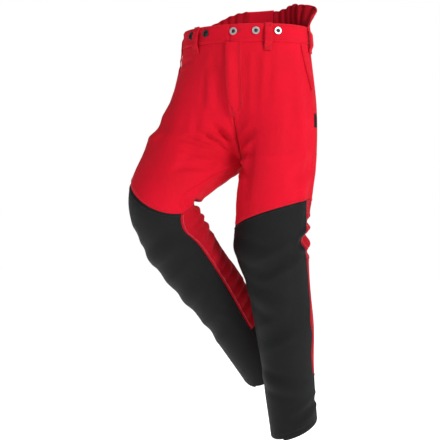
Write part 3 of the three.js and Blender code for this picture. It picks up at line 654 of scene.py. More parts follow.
darkMetal = metalFinish("darkRing", (0.060, 0.062, 0.066), 0.30)
print("finishes made")


# ---- where each piece goes: pelvis and shin pieces are attached to their body parts, upper and lower pieces are baked in place ----
def seamPlane(name):  # the flat that the knee seam lies in
    around = np.linspace(0, 1, 40, endpoint=False)
    ring = surface(name, around, kneeSeam(around))
    middle = ring.mean(0)
    direction = np.linalg.svd(ring - middle)[2][2]
    if direction @ legDirection(name, np.array(0.5)) < 0:
        direction = -direction
    return middle + direction * ((ring - middle) @ direction).max(), direction


for side in sides:
    start, along = seamPlane(side)


def goWith(piece, part, side=None):
    if part == "pelvis":
        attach(piece, "pelvis")
    elif part == "upper":
        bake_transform(piece)
    elif part == "lower":
        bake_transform(piece)
    else:
        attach(piece, f"shin_{side}_body")
    return piece


# ---- mesh helpers ----
def newObject(name, points, faces, material, uvs=None, smooth=True):
    mesh = bpy.data.meshes.new(name)
    mesh.from_pydata([tuple(p) for p in points], [], faces)
    if uvs is not None:
        layer = mesh.uv_layers.new(name="clothUv")
        corners = np.empty(len(mesh.loops), int)
        mesh.loops.foreach_get("vertex_index", corners)
        layer.data.foreach_set("uv", np.asarray(uvs)[corners].astype(np.float32).ravel())
    mesh.materials.append(material)
    mesh.polygons.foreach_set("use_smooth", [smooth] * len(mesh.polygons))
    mesh.validate()
    piece = bpy.data.objects.new(name, mesh)
    bpy.context.scene.collection.objects.link(piece)
    return piece


def shellFromGrids(name, outer, inner, flip, material, uv):  # closed cloth with softly rounded cut edges
    rows, columns = outer.shape[:2]
    count = rows * columns
    ring = [(0, c) for c in range(columns)] + [(r, columns - 1) for r in range(1, rows)]
    ring += [(rows - 1, c) for c in range(columns - 2, -1, -1)] + [(r, 0) for r in range(rows - 2, 0, -1)]
    middle = []
    for r, c in ring:
        inR, inC = min(max(r, 1), rows - 2), min(max(c, 1), columns - 2)
        away = unit(outer[r, c] - outer[inR, inC] + 1e-12)
        half = np.linalg.norm(outer[r, c] - inner[r, c]) * 0.4
        middle.append((outer[r, c] + inner[r, c]) / 2 + away * min(half, 0.0007))
    points = np.vstack([outer.reshape(-1, 3), inner.reshape(-1, 3), np.array(middle)])
    r, c = np.meshgrid(np.arange(rows - 1), np.arange(columns - 1), indexing="ij")
    a = (r * columns + c).ravel()
    quads = np.stack([a, a + columns, a + columns + 1, a + 1], 1)
    back = quads[:, ::-1] + count
    n = len(ring)
    edge = np.array([i * columns + j for i, j in ring])
    nxt = np.roll(np.arange(n), -1)
    m = 2 * count + np.arange(n)
    wallA = np.stack([edge, edge[nxt], m[nxt], m], 1)
    wallB = np.stack([m, m[nxt], edge[nxt] + count, edge + count], 1)
    faces = np.vstack([quads, back, wallA, wallB])
    if flip:
        faces = faces[:, ::-1]
    flat = uv.reshape(-1, 2)
    return newObject(name, points, faces.tolist(), material, np.vstack([flat, flat, flat[edge]]))


def girthAt(down):
    return mix(garment["seatGirth"] / 2, garment["kneeGirth"],
               float(ease(crotchDown * 0.8, crotchDown * 1.1, down)))


def clothPiece(name, side, cut, material, lift=0.0, thickness=0.0018, wave=None, drift=0.0):
    step = cut.get("step", 0.0052)
    top = cut["top"] if callable(cut["top"]) else (lambda a, v=cut["top"]: np.full_like(a, v))
    bottom = cut["bottom"] if callable(cut["bottom"]) else (lambda a, v=cut["bottom"]: np.full_like(a, v))
    middle = (cut["from"] + cut["to"]) / 2
    length = abs(float(bottom(np.array(middle)) - top(np.array(middle))))
    width = abs(cut["to"] - cut["from"]) * girthAt(float(top(np.array(middle))) + length / 2)
    rows, columns = max(4, int(length / step)), max(4, int(width / step))
    s = np.linspace(0, 1, columns + 1)[None, :] * np.ones((rows + 1, 1))
    t = np.linspace(0, 1, rows + 1)[:, None] * np.ones((1, columns + 1))
    around = mix(cut["from"], cut["to"], s) + drift * t
    down = mix(top(around) + 0.0001, bottom(around) - 0.0001, t)
    if "fromAt" in cut or "toAt" in cut:
        start = cut["fromAt"](down) if "fromAt" in cut else cut["from"]
        end = cut["toAt"](down) if "toAt" in cut else cut["to"]
        around = mix(start, end, s)
        down = mix(top(around) + 0.0001, bottom(around) - 0.0001, t)
    toSide = np.minimum(s, 1 - s) * width
    toEnd = np.minimum(t, 1 - t) * length
    edge = np.minimum(toSide, toEnd)
    rise = -0.0007 * np.exp(-((edge / 0.0022) ** 2)) + 0.0006 * np.exp(-(((edge - 0.006) / 0.004) ** 2))
    rise = rise + lift + (wave(around, down) if wave else 0)
    outer = draped(side, around, down, rise)
    inner = outer - surfaceNormal(side, around, down) * thickness
    if cut.get("keepSide", True):
        for grid in (outer, inner):
            near = down < kneeDown
            x = sides[side] * grid[..., 0]
            grid[..., 0] = sides[side] * np.where(near, np.maximum(x, 0.00012), x)
    uv = np.stack([around * width / abs(cut["to"] - cut["from"]), down], -1)
    piece = shellFromGrids(name, outer, inner, sides[side] < 0, material, uv)
    piece["flatWidth"], piece["flatLength"] = width, length
    return piece


# ---- stitching: short threads set along lines on the cloth ----
def stitchTree():
    tree = bpy.data.node_groups.new("threadStitches", "GeometryNodeTree")
    face = tree.interface
    face.new_socket("Geometry", in_out="INPUT", socket_type="NodeSocketGeometry")
    for label, value in (("Stitch length", 0.0026), ("Thread radius", 0.0004), ("Spacing", 0.0034)):
        face.new_socket(label, in_out="INPUT", socket_type="NodeSocketFloat").default_value = value
    face.new_socket("Thread", in_out="INPUT", socket_type="NodeSocketMaterial")
    face.new_socket("Geometry", in_out="OUTPUT", socket_type="NodeSocketGeometry")
    n, link = tree.nodes, tree.links.new
    start, end = n.new("NodeGroupInput"), n.new("NodeGroupOutput")
    curve = n.new("GeometryNodeMeshToCurve")
    even = n.new("GeometryNodeResampleCurve")
    even.mode = "LENGTH"
    link(start.outputs["Geometry"], curve.inputs["Mesh"])
    link(curve.outputs[0], even.inputs["Curve"])
    link(start.outputs["Spacing"], even.inputs["Length"])
    tangent = n.new("GeometryNodeInputTangent")
    turn = n.new("FunctionNodeAlignRotationToVector")
    turn.axis = "X"
    link(tangent.outputs[0], turn.inputs["Vector"])
    thread = n.new("GeometryNodeMeshUVSphere")
    thread.inputs["Segments"].default_value = 6
    thread.inputs["Rings"].default_value = 4
    thread.inputs["Radius"].default_value = 1.0
    half = n.new("ShaderNodeMath")
    half.operation = "MULTIPLY"
    half.inputs[1].default_value = 0.5
    link(start.outputs["Stitch length"], half.inputs[0])
    size = n.new("ShaderNodeCombineXYZ")
    link(half.outputs[0], size.inputs[0])
    link(start.outputs["Thread radius"], size.inputs[1])
    link(start.outputs["Thread radius"], size.inputs[2])
    shape = n.new("GeometryNodeTransform")
    link(thread.outputs["Mesh"], shape.inputs["Geometry"])
    link(size.outputs[0], shape.inputs["Scale"])
    place = n.new("GeometryNodeInstanceOnPoints")
    link(even.outputs[0], place.inputs["Points"])
    link(shape.outputs[0], place.inputs["Instance"])
    link(turn.outputs[0], place.inputs["Rotation"])
    real = n.new("GeometryNodeRealizeInstances")
    link(place.outputs[0], real.inputs[0])
    paint = n.new("GeometryNodeSetMaterial")
    link(real.outputs[0], paint.inputs["Geometry"])
    link(start.outputs["Thread"], paint.inputs["Material"])
    link(paint.outputs[0], end.inputs[0])
    return tree


threadTree = stitchTree()


def sew(name, lines, thread, spacing=0.0036, length=0.0027, radius=0.00042):
    points, edges = [], []
    for line in lines:
        first = len(points)
        points += [tuple(p) for p in line]
        edges += [(first + k, first + k + 1) for k in range(len(line) - 1)]
    mesh = bpy.data.meshes.new(name + "Lines")
    mesh.from_pydata(points, edges, [])
    guide = bpy.data.objects.new(name + "Lines", mesh)
    bpy.context.scene.collection.objects.link(guide)
    nodes = guide.modifiers.new("threads", "NODES")
    nodes.node_group = threadTree
    values = {"Stitch length": length, "Thread radius": radius, "Spacing": spacing, "Thread": thread}
    for item in threadTree.interface.items_tree:
        if item.item_type == "SOCKET" and item.in_out == "INPUT" and item.name in values:
            nodes[item.identifier] = values[item.name]
    bpy.context.view_layer.update()
    done = bpy.data.meshes.new_from_object(guide.evaluated_get(bpy.context.evaluated_depsgraph_get()))
    bpy.data.objects.remove(guide)
    done.name = name
    done.polygons.foreach_set("use_smooth", [True] * len(done.polygons))
    if not done.uv_layers:
        done.uv_layers.new(name="clothUv")
    piece = bpy.data.objects.new(name, done)
    bpy.context.scene.collection.objects.link(piece)
    return piece


def alongDown(side, around, top, bottom, lift=0.0006, step=0.006):
    count = max(3, int(abs(bottom - top) / step))
    down = np.linspace(top, bottom, count)
    place = around(down) if callable(around) else np.full_like(down, around)
    return draped(side, place, down, np.full_like(down, lift))


def alongRound(side, start, end, downAt, lift=0.0006, count=90):
    around = np.linspace(start, end, count)
    down = downAt(around) if callable(downAt) else np.full_like(around, downAt)
    return draped(side, around, down, np.full_like(around, lift))


# ---- leg panels ----
band = garment["bandHeight"]
uppers = {}
for side in sides:
    front = clothPiece(f"front_upper_{side}", side, {"from": 0, "to": 0.5, "top": band, "bottom": kneeSeam},
                       redCloth)
    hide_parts(f"front_hip_{side}", f"hip_fold_front_{side}", f"thigh_front_{side}")
    back = clothPiece(f"seat_upper_{side}", side, {"from": 0.5, "to": 1, "top": band, "bottom": kneeSeam},
                      redCloth)
    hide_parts(f"seat_{side}", f"hip_fold_back_{side}", f"thigh_back_{side}")
    inside, outside = (lambda d, n=side: innerBorder(n, d)), (lambda d, n=side: outerBorder(n, d))
    insideBack = lambda d, n=side: 1 + innerBorder(n, d)
    knee = clothPiece(f"front_lower_{side}", side, {"from": 0, "to": 0.5, "fromAt": inside, "toAt": outside,
                                                    "top": kneeSeam, "bottom": hemEdge}, blackCloth,
                                                    thickness=0.0022)
    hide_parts(f"knee_front_{side}", f"shin_front_{side}")
    calf = clothPiece(f"calf_{side}", side, {"from": 0.5, "to": 1, "fromAt": outside, "toAt": insideBack,
                                             "top": kneeSeam, "bottom": cuffDown}, redStretchPaintedShade)
    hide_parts(f"knee_back_{side}", f"calf_back_{side}")
    cuff = clothPiece(f"cuff_{side}", side, {"from": 0.5, "to": 1, "fromAt": outside, "toAt": insideBack,
                                             "top": cuffDown, "bottom": hemEdge}, blackCloth,
                                             thickness=0.0022)
    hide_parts(f"cuff_back_{side}")
    uppers[side] = (front, back, knee, calf, cuff)
    goWith(front, "upper", side)
    goWith(back, "upper", side)
    goWith(knee, "lower", side)
    goWith(calf, "lower", side)
    goWith(cuff, "shin", side)
print("leg panels made")

# ---- saw padding: layered, quilted, one long pad behind the front of each leg ----
padding = {"from": 0.11, "to": 0.45, "lift": -0.0046, "thickness": 0.0052, "quiltStep": 0.045,
           "quiltDepth": 0.0011}


def quilt(around, down):
    across = np.abs(np.sin(math.pi * (around - padding["from"]) * 0.55 / padding["quiltStep"]))
    along = np.abs(np.sin(math.pi * down / padding["quiltStep"]))
    return -padding["quiltDepth"] * (1 - np.minimum(across, along) ** 0.35)


for side in sides:
    pad = clothPiece(f"saw_pad_{side}", side, {
        "from": padding["from"], "to": padding["to"],
        "top": lambda a: slantFrom(crotchDown + 0.048, crotchDown + 0.012)(a),
        "bottom": hemDown - garment["hemBackRise"] - 0.015, "step": 0.0065}, padCloth, lift=padding["lift"],
        thickness=padding["thickness"], wave=quilt)
    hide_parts(f"thigh_pad_{side}", f"knee_pad_{side}", f"shin_pad_{side}")
    goWith(pad, "lower", side)
print("padding made")

# ---- waistband and raised back ----
waist = {"sideEnd": 0.56, "centreBack": 0.93, "leftHump": 0.30, "rightDip": -0.3, "leftFlare": 0.027,
         "pleats": 8, "pleatDepth": 0.0062, "bandLift": 0.0012}


def raisedTop(side):
    def top(around):
        gathers = np.sin(math.pi * ease(waist["sideEnd"], waist["centreBack"], around))
        climb = ease(waist["sideEnd"] - 0.02, waist["centreBack"] - 0.1, around)
        height = climb * (1 + waist["rightDip"] * gathers)
        if side == "left":
            early = ease(waist["sideEnd"] - 0.02, waist["sideEnd"] + 0.085, around)
            bulge = np.exp(-(((around - 0.735) / 0.105) ** 2))
            height = np.maximum(climb, early * 0.80) * 0.93 + waist["leftHump"] * bulge * early
        frill = 0.0010 * np.sin(2 * math.pi * waist["pleats"] * (around - waist["sideEnd"]) / 0.37) * climb
        return -(garment["backRaise"] * height) + frill
    return top


def gather(side):
    def wave(around, down):
        share = (around - waist["sideEnd"]) / (waist["centreBack"] - waist["sideEnd"])
        fade = np.sin(math.pi * np.clip(share, 0, 1)) ** 0.5
        wobble = 0.35 * np.sin(down * 90 + share * 5)
        folds = (0.5 - 0.5 * np.cos(2 * math.pi * waist["pleats"] * (share + 0.020 * np.sin(9
                 * share)) + wobble))
        folds = folds ** 1.5
        loose = 0.55 + 0.45 * ease(-0.01, 0.045, np.abs(down - 0.006))
        flare = 0.0
        if side == "left":
            flare = waist["leftFlare"] * ease(0.0, garment["backRaise"],
                                              -down) * np.sin(math.pi * ease(0.50, 0.76, around))
        return flare + waist["pleatDepth"] * fade * loose * (folds - 0.5)
    return wave


for side in sides:
    strip = clothPiece(f"waistband_{side}_cloth", side, {
        "from": 0, "to": waist["sideEnd"], "top": 0.0, "bottom": band + 0.001, "step": 0.004}, redCloth,
        lift=waist["bandLift"], thickness=0.0034)
    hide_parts(f"waistband_{side}")
    goWith(strip, "pelvis")
    # the raised back elastic takes the darker stretch red as painted shade on its inner side
    elastic = clothPiece(f"elastic_back_{side}", side, {
        "from": waist["sideEnd"], "to": waist["centreBack"], "top": raisedTop(side), "bottom": band + 0.001,
        "step": 0.0026}, redStretchPaintedShade, lift=0.0004, thickness=0.0030, wave=gather(side))
    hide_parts(f"back_elastic_{side}")
    goWith(elastic, "pelvis")


def centreBackPanel():
    columns, rows = 16, 28
    outer, inner, uv = [], [], []
    x = np.linspace(-1, 1, columns + 1)
    around = 1 - np.abs(x) * (1 - waist["centreBack"])
    down = np.linspace(-garment["backRaise"], band + 0.001, rows + 1)
    left = surface("left", around[None, :] * np.ones((rows + 1, 1)),
                   down[:, None] * np.ones((1, columns + 1)))
    left[..., 0] = np.abs(left[..., 0]) * np.sign(x)[None, :]
    normal = np.stack([left[..., 0] * 0.35, np.full(left.shape[:2], 0.12), np.zeros(left.shape[:2])], -1)
    normal = unit(normal)
    outer = left + normal * 0.0008
    inner = left - normal * 0.0026
    uv = np.stack([left[..., 0], down[:, None] * np.ones((1, columns + 1))], -1)
    piece = shellFromGrids("raised_back_panel", outer, inner, False, redCloth, uv)
    piece["flatWidth"], piece["flatLength"] = 0.0746, garment["backRaise"] + band
    return piece


backPanel = centreBackPanel()
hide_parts("raised_back_centre")
goWith(backPanel, "pelvis")
print("waist made")


# ---- places on the garment ----
def aroundAt(side, across, down, low=0.0, high=0.5):
    across, down = np.broadcast_arrays(np.abs(np.asarray(across, float)), np.asarray(down, float))
    low, high = np.full(across.shape, float(low)), np.full(across.shape, float(high))
    for _ in range(22):
        middle = (low + high) / 2
        inside = np.abs(surface(side, middle, down)[..., 0]) < across
        low, high = np.where(inside, middle, low), np.where(inside, high, middle)
    return (low + high) / 2


def placeOn(side, around, down, lift):
    a, d = np.array(float(around)), np.array(float(down))
    outwards = surfaceNormal(side, a, d)
    if around == 1:
        outwards = np.array([0.0, 1.0, 0.0])
    up = unit(surface(side, a, d - 0.002) - surface(side, a, d + 0.002))
    aside = unit(np.cross(up, outwards))
    up = unit(np.cross(outwards, aside))
    origin = surface(side, a, d) + outwards * lift
    return Matrix([[aside[k], up[k], outwards[k], origin[k]] for k in range(3)] + [[0, 0, 0, 1]])


def turnedShape(profile, segments=40):  # a closed profile of (radius, height) turned about z
    points, faces = [], []
    n = len(profile)
    for s in range(segments):
        angle = 2 * math.pi * s / segments
        points += [(r * math.cos(angle), r * math.sin(angle), h) for r, h in profile]
    for s in range(segments):
        a, b = s * n, ((s + 1) % segments) * n
        faces += [(a + k, b + k, b + (k + 1) % n, a + (k + 1) % n) for k in range(n)]
    return points, faces


# ---- ring buttons ----
ringButton = {"outer": 0.0095, "hole": 0.0046, "height": 0.0026, "bead": 0.0011}


def ringProfile():
    o, i, h, b = (ringButton[k] for k in ("outer", "hole", "height", "bead"))
    profile = [(i, 0.0003), (o - 0.0004, 0.0), (o, 0.0005), (o, h - b)]
    profile += [(o - b + b * math.cos(t), h - b + b * math.sin(t)) for t in np.linspace(0.35, math.pi / 2, 4)]
    profile += [(mix(o - b, i + b, 0.5), h - 0.0009)]
    profile += [(i + b + b * math.cos(t), h - b + b * math.sin(t)) for t in np.linspace(math.pi / 2,
                                                                                        math.pi - 0.3, 4)]
    return profile


def makeRing(node, side, around, down, lift, finish):
    points, faces = turnedShape(ringProfile())
    ring = newObject(node + "_ring", points, faces, finish)
    place = placeOn(side, around, down, lift)
    ring.data.transform(place)
    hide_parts(node)
    goWith(ring, "pelvis")
    # the dark metal tack fills the ring's hole: it is the rivet post and also painted shade for the open
    # centre of the ring
    tack, tackFaces = turnedShape([(0.0001, -0.0016), (0.0043, -0.0016), (0.0045, -0.0002), (0.0040, 0.0003),
                                   (0.0022, 0.0002), (0.0016, 0.0009), (0.0001, 0.0011)], 28)
    tackWithHoleShade = newObject(node + "_tack_hole_shade", tack, tackFaces, darkMetal)
    tackWithHoleShade.data.transform(place)
    goWith(tackWithHoleShade, "pelvis")


bandMiddle = band * 0.42
girth = garment["waistGirth"]
for node, side, share, finish, slotName in (
        ("brace_button_left_inner", "left", 0.073, brightMetal, "bright_metal"),
        ("brace_button_left_outer", "left", 0.127, brightMetal, "bright_metal"),
        ("brace_button_right_inner", "right", 0.073, darkMetal, "dark_metal"),
        ("brace_button_right_outer", "right", 0.127, darkMetal, "dark_metal"),
        ("waist_button", "left", 0.012, brightMetal, "bright_metal")):
    makeRing(node, side, aroundAt(side, girth * share, bandMiddle), bandMiddle, 0.0020, finish)
for side in sides:
    makeRing(f"brace_button_back_{side}", side, 1 - 0.06, -garment["backRaise"] * 0.62, 0.0030, darkMetal)
print("buttons made")

# ---- belt loops ----
loop = {"width": 0.018, "length": 0.068, "thickness": 0.0022, "gap": 0.0062, "foot": 0.009, "stand": 0.0016}


def loopPath():  # side view, height along the loop against distance off the cloth
    half, foot, gap = loop["length"] / 2, loop["foot"], loop["gap"]
    keys = [(-half, 0.0004), (-half + foot, 0.0006), (-half + foot * 2.2, gap), (half - foot * 2.2, gap),
            (half - foot, 0.0006), (half, 0.0004)]
    t = np.linspace(-half, half, 40)
    rise = np.interp(t, [k[0] for k in keys], [k[1] for k in keys])
    for _ in range(3):
        rise[1:-1] = (rise[:-2] + 2 * rise[1:-1] + rise[2:]) / 4
    return t, rise


def makeLoop(node, side, around, stand):
    t, rise = loopPath()
    columns = 8
    x = np.linspace(-loop["width"] / 2, loop["width"] / 2, columns + 1)
    crown = 0.0005 * (1 - (x / x[-1]) ** 2)
    inner = np.array([[(a, b, c) for a in x] for b, c in zip(t, rise)])
    tangent = np.gradient(rise, t)
    lean = np.stack([-tangent, np.ones_like(t)], 1)
    lean /= np.linalg.norm(lean, axis=1, keepdims=True)
    outer = inner.copy()
    outer[..., 1] += lean[:, :1] * loop["thickness"]
    outer[..., 2] += lean[:, 1:] * loop["thickness"] + crown[None, :]
    uv = inner[..., :2].copy()
    strip = shellFromGrids(node + "_strap", outer, inner, True, redCloth, uv)
    strip["flatWidth"], strip["flatLength"] = loop["width"], loop["length"]
    middle = loop["length"] / 2 - 0.001
    place = placeOn(side, around, middle, stand)
    strip.data.transform(place)
    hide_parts(node)
    goWith(strip, "pelvis")
    rows = []
    for edge in (-1, 1):
        for k in (0, 1):
            a = edge * (loop["width"] / 2 - 0.0022 - 0.0016 * k)
            rows.append([place @ Vector((a, b, c + loop["thickness"] + 0.0006)) for b, c in zip(t, rise)])
    for end in (-1, 1):  # bar tack over each foot
        y = end * (loop["length"] / 2 - 0.005)
        zig = [(-0.007 + 0.014 * k / 24, y + 0.0012 * (1 if k % 2 else -1)) for k in range(25)]
        rows.append([place @ Vector((a, b, 0.0006 + loop["thickness"] + 0.0005)) for a, b in zig])
    return rows


loopLines = []
loopMiddle = loop["length"] / 2 - 0.001
for side in sides:
    loopLines += makeLoop(f"belt_loop_front_{side}", side, aroundAt(side, girth * 0.104, loopMiddle), 0.0016)
    loopLines += makeLoop(f"belt_loop_side_{side}", side, 0.5, 0.0016)
    loopLines += makeLoop(f"belt_loop_back_{side}", side,
                          aroundAt(side, girth * 0.072, loopMiddle, 1.0, 0.5), 0.0032)
loopLines += makeLoop("belt_loop_centre_back", "left", 1, 0.0026)
print("belt loops made")

# ---- fly ----
fly = {"width": 0.031, "overlap": 0.009, "bottom": crotchDown * 0.67, "round": 0.026}


def flyPoint(across, down, lift):
    across, down, lift = np.broadcast_arrays(*(np.asarray(v, float) for v in (across, down, lift)))
    onLeft = draped("left", aroundAt("left", across, down), down, lift)
    onRight = draped("right", aroundAt("right", across, down), down, lift)
    return np.where((across < 0)[..., None], onRight, onLeft)


def flyEdge(across):
    share = np.clip((across + fly["overlap"]) / (fly["width"] + fly["overlap"]), 0, 1)
    return fly["bottom"] - fly["round"] * (1 - np.sqrt(1 - share * share * 0.96))


def makeFly():
    columns, rows = 18, 60
    s = np.linspace(0, 1, columns + 1)[None, :] * np.ones((rows + 1, 1))
    t = np.linspace(0, 1, rows + 1)[:, None] * np.ones((1, columns + 1))
    across = mix(-fly["overlap"], fly["width"], s)
    down = mix(band + 0.0005, flyEdge(across), t)
    rise = mix(0.0052, 0.0008, ease(0.10, 0.85, s)) * (1 - 0.7 * ease(0.88, 1.0, t))
    piece = shellFromGrids("fly_front", flyPoint(across, down, rise), flyPoint(across, down, rise - 0.0016),
                           False,
                           redCloth, np.stack([across, down], -1))
    piece["flatWidth"], piece["flatLength"] = fly["width"] + fly["overlap"], fly["bottom"] - band
    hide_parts("fly_placket")
    goWith(piece, "pelvis")


makeFly()


def jLine(inset):  # the curved line of stitching that holds the zip
    straight = [(fly["width"] - inset, d) for d in np.linspace(band + 0.004, fly["bottom"] - 0.034, 40)]
    curve = []
    for t in np.linspace(0, math.pi / 2, 16)[1:]:
        curve.append((fly["width"] - inset - 0.026 * (1 - math.cos(t)),
                      fly["bottom"] - 0.034 + 0.028 * math.sin(t)))
    line = np.array(straight + curve)
    return flyPoint(np.maximum(line[:, 0], 0.0008), line[:, 1], 0.0026)


def holeLine():  # buttonhole edging on the waistband overlap
    y, a0, a1 = bandMiddle, 0.0085, 0.030
    outline = [(a0 + (a1 - a0) * k / 30, y + 0.0022) for k in range(31)]
    outline += [(a1 + 0.0016 * math.sin(t), y + 0.0022 * math.cos(t)) for t in np.linspace(0, math.pi, 8)]
    outline += [(a1 + (a0 - a1) * k / 30, y - 0.0022) for k in range(31)]
    line = np.array(outline)
    return flyPoint(line[:, 0], line[:, 1], 0.0028)


waistLines, flyLines = [], []
for side in sides:
    waistLines.append(alongRound(side, 0.004, waist["sideEnd"] - 0.004, 0.0045, 0.0022))
    waistLines.append(alongRound(side, 0.004, waist["sideEnd"] - 0.004, band - 0.004, 0.0022))
    top = raisedTop(side)
    for inset in (0.010, 0.021):
        around = np.linspace(waist["sideEnd"] + 0.02, waist["centreBack"] - 0.005, 110)
        down = top(around) + inset
        waistLines.append(draped(side, around, down, 0.0012 + gather(side)(around, down)))
flyLines += [jLine(0.001), jLine(0.0045), holeLine()]
flyLines.append(flyPoint(-fly["overlap"] + 0.003, np.linspace(band + 0.004, fly["bottom"] - 0.006, 40),
                         0.0060))
for down, across in ((fly["bottom"] - 0.006, 0.003), (fly["bottom"] - 0.030, fly["width"] - 0.002)):
    zig = np.array([(across + 0.0012 * (1 if k % 2 else -1),
                     down + 0.012 * (k / 20 - 0.5)) for k in range(21)])
    flyLines.append(flyPoint(np.maximum(zig[:, 0], 0.0005), zig[:, 1], 0.0032))
waistThread = sew("waist_stitching", waistLines + flyLines + loopLines, redThread)
goWith(waistThread, "pelvis")

slit = flyPoint(np.linspace(0.009, 0.030, 21), bandMiddle, 0.0026)
slitLine = sew("buttonhole_slit", [slit], liningCloth, spacing=0.0016, length=0.0022, radius=0.0006)
goWith(slitLine, "pelvis")
print("fly made")

# ---- pockets and side tab ----
pocket = {"from": 0.395, "width": 0.020, "drift": 0.065, "top": band + 0.004, "bottom": band + 0.118}
for side in sides:
    edge = clothPiece(f"pocket_mouth_{side}", side, {
        "from": pocket["from"], "to": pocket["from"] + pocket["width"], "top": pocket["top"],
        "bottom": pocket["bottom"],
        "step": 0.0022}, redCloth, lift=0.0030, thickness=0.0014, drift=pocket["drift"])
    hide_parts(f"pocket_edge_{side}")
    goWith(edge, "pelvis")
    bag = clothPiece(f"pocket_lining_{side}", side, {
        "from": 0.24, "to": 0.46, "top": band + 0.008, "bottom": garment["hipBelowWaist"] - 0.017,
        "step": 0.006}, liningCloth,
        lift=-0.0046, thickness=0.0012)
    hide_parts(f"pocket_bag_{side}")
    goWith(bag, "pelvis")
rear = clothPiece("rear_pocket", "right", {"from": 0.70, "to": 0.86, "top": band + 0.040,
                                           "bottom": band + 0.175,
                                           "step": 0.0045}, redCloth, lift=0.0026, thickness=0.0014)
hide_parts("back_pocket")
goWith(rear, "pelvis")
tab = clothPiece("side_tab_cloth", "left", {"from": 0.475, "to": 0.515, "top": crotchDown * 0.65,
                                            "bottom": crotchDown * 0.75, "step": 0.002}, blackCloth,
                                            lift=0.0028,
                 thickness=0.0012)
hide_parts("side_tab")
goWith(tab, "upper", "left")

# ---- long seams: topstitching down the legs ----
for side in sides:
    upperLines = [
        alongDown(side, 0.487, band + 0.004, kneeDown - 0.055, 0.0014),
        alongDown(side, 0.513, band + 0.004, kneeDown - 0.055, 0.0014),
        alongRound(side, 0.01, 0.49, lambda a: kneeSeam(a) - 0.005, 0.0013),
        alongRound(side, 0.51, 0.99, lambda a: kneeSeam(a) - 0.005, 0.0013),
        alongDown(side, 0.012, fly["bottom"] + 0.008, crotchDown - 0.004, 0.0014),
        alongDown(side, 0.988, band + 0.004, crotchDown - 0.004, 0.0014),
    ]
    thread = sew(f"upper_stitching_{side}", upperLines, redThread)
    goWith(thread, "upper", side)
    pocketRow = [draped(side, pocket["from"] + t * pocket["drift"] + k,
                        mix(pocket["top"], pocket["bottom"], t) + 0 * t,
                        0.0034 + 0 * t)
                 for t in [np.linspace(0.02, 0.98, 30)] for k in (0.004, 0.016)]
    if side == "right":
        for a in (0.706, 0.854):
            pocketRow.append(alongDown(side, a, band + 0.042, band + 0.172, 0.0034))
        for d in (band + 0.044, band + 0.058, band + 0.171):
            pocketRow.append(alongRound(side, 0.706, 0.854, d, 0.0034, 40))
    thread = sew(f"pocket_stitching_{side}", pocketRow, redThread)
    goWith(thread, "pelvis")
    inner, outer = (lambda d, n=side: innerBorder(n, d)), (lambda d, n=side: outerBorder(n, d))
    paleRow = [alongDown(side, lambda d: 1 + inner(d) - 0.010, kneeDown + 0.036, cuffDown - 0.004, 0.0016),
               alongDown(side, lambda d: outer(d) + 0.012, kneeDown - 0.040, cuffDown - 0.004, 0.0016)]
    thread = sew(f"calf_stitching_{side}", paleRow, paleThread)
    goWith(thread, "lower", side)
    darkRows = [
        alongRound(side, 0.01, 0.49, lambda a: kneeSeam(a) + 0.005, 0.0013),
        alongDown(side, lambda d: inner(d) + 0.010, kneeDown + 0.036, hemDown - 0.030, 0.0014),
        alongDown(side, lambda d: outer(d) - 0.012, kneeDown - 0.040, hemDown - 0.060, 0.0014),
        alongRound(side, 0.01, 0.49, lambda a: hemEdge(a) - 0.018, 0.0012),
        alongRound(side, 0.51, 0.99, lambda a: hemEdge(a) - 0.018, 0.0012),
        alongRound(side, 0.51, 0.99, lambda a: cuffDown + 0.005 + 0 * a, 0.0012),
    ]
    thread = sew(f"lower_stitching_{side}", darkRows, blackThread)
    goWith(thread, "lower", side)
print("seams sewn")

# ---- zip parts keep their own shape and get a finish ----
for node, finish in (("zip_tape_left", blackThread), ("zip_tape_right", blackThread),
                     ("fly_shield", liningCloth),
                     ("zip_slider", darkMetal), ("zip_pull", darkMetal)):
    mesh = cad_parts[node].data
    for slotIndex in range(max(1, len(mesh.materials))):
        if mesh.materials:
            mesh.materials[slotIndex] = finish
        else:
            mesh.materials.append(finish)

# ---- studio ----
studio = {"azimuth": 21.5, "distance": 3.0, "aside": -0.068, "height": -0.490, "lens": 94.4,
          "floor": -1.085, "ambient": 0.30}


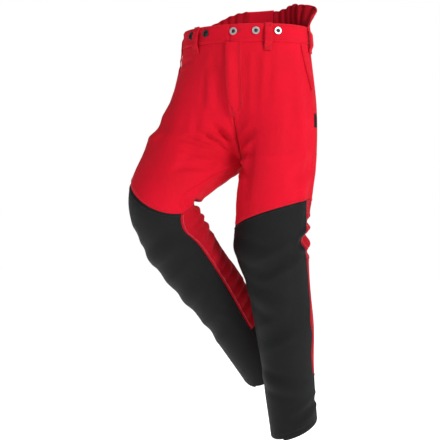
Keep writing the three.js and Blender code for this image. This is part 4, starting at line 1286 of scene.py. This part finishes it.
def makeStudio():
    a = math.radians(studio["azimuth"])
    right, ahead = Vector((math.cos(a), math.sin(a), 0)), Vector((-math.sin(a), math.cos(a), 0))
    camera = bpy.data.objects.new("camera", bpy.data.cameras.new("camera"))
    camera.data.lens = studio["lens"]
    camera.data.clip_end = 50
    camera.location = right * studio["aside"] - ahead * studio["distance"] + Vector((0, 0, studio["height"]))
    camera.rotation_euler = (math.pi / 2, 0, a)
    bpy.context.scene.collection.objects.link(camera)
    bpy.context.scene.camera = camera
    size = 9.0
    floor = newObject("studioFloor", [(-size, -size, studio["floor"]), (size, -size, studio["floor"]),
                                      (size, size, studio["floor"]), (-size, size, studio["floor"])],
                      [(0, 1, 2, 3)], floorFinish(), smooth=False)
    for label, where, power, width in (
            ("keyLight", right * 1.7 - ahead * 2.1 + Vector((0, 0, 1.0)), 66, 0.8),
            ("fillLight", right * -2.6 - ahead * 1.6 + Vector((0, 0, 0.3)), 8, 2.0),
            ("topLight", right * 0.6 + Vector((0, 0.2, 2.2)), 24, 1.0),
            ("backLight", right * 0.8 + ahead * 2.6 + Vector((0, 0, 0.8)), 16, 2.2)):
        data = bpy.data.lights.new(label, "AREA")
        data.energy = power
        data.size = width
        light = bpy.data.objects.new(label, data)
        light.location = where
        light.rotation_euler = (Vector((0, 0, -0.45)) - where).to_track_quat("-Z", "Y").to_euler()
        bpy.context.scene.collection.objects.link(light)
    world = bpy.data.worlds.new("studioWorld")
    world.use_nodes = True
    backdrop = world.node_tree.nodes["Background"]
    backdrop.inputs[0].default_value = (1, 1, 1, 1)
    strength = world.node_tree.nodes.new("ShaderNodeMapRange")  # white to look at, softer as a light
    strength.inputs["To Min"].default_value = studio["ambient"]
    strength.inputs["To Max"].default_value = 1.0
    seen = world.node_tree.nodes.new("ShaderNodeLightPath")
    world.node_tree.links.new(seen.outputs["Is Camera Ray"], strength.inputs["Value"])
    world.node_tree.links.new(strength.outputs[0], backdrop.inputs[1])
    bpy.context.scene.world = world
    bpy.context.scene.view_settings.view_transform = "Standard"


def floorFinish():
    material = bpy.data.materials.new("studioFloorPaint")
    material.use_nodes = True
    shader = material.node_tree.nodes["Principled BSDF"]
    shader.inputs["Base Color"].default_value = (0.86, 0.86, 0.86, 1)
    shader.inputs["Roughness"].default_value = 0.9
    shader.inputs["Emission Color"].default_value = (1, 1, 1, 1)
    shader.inputs["Emission Strength"].default_value = 0.80
    return material


makeStudio()
print("studio made")
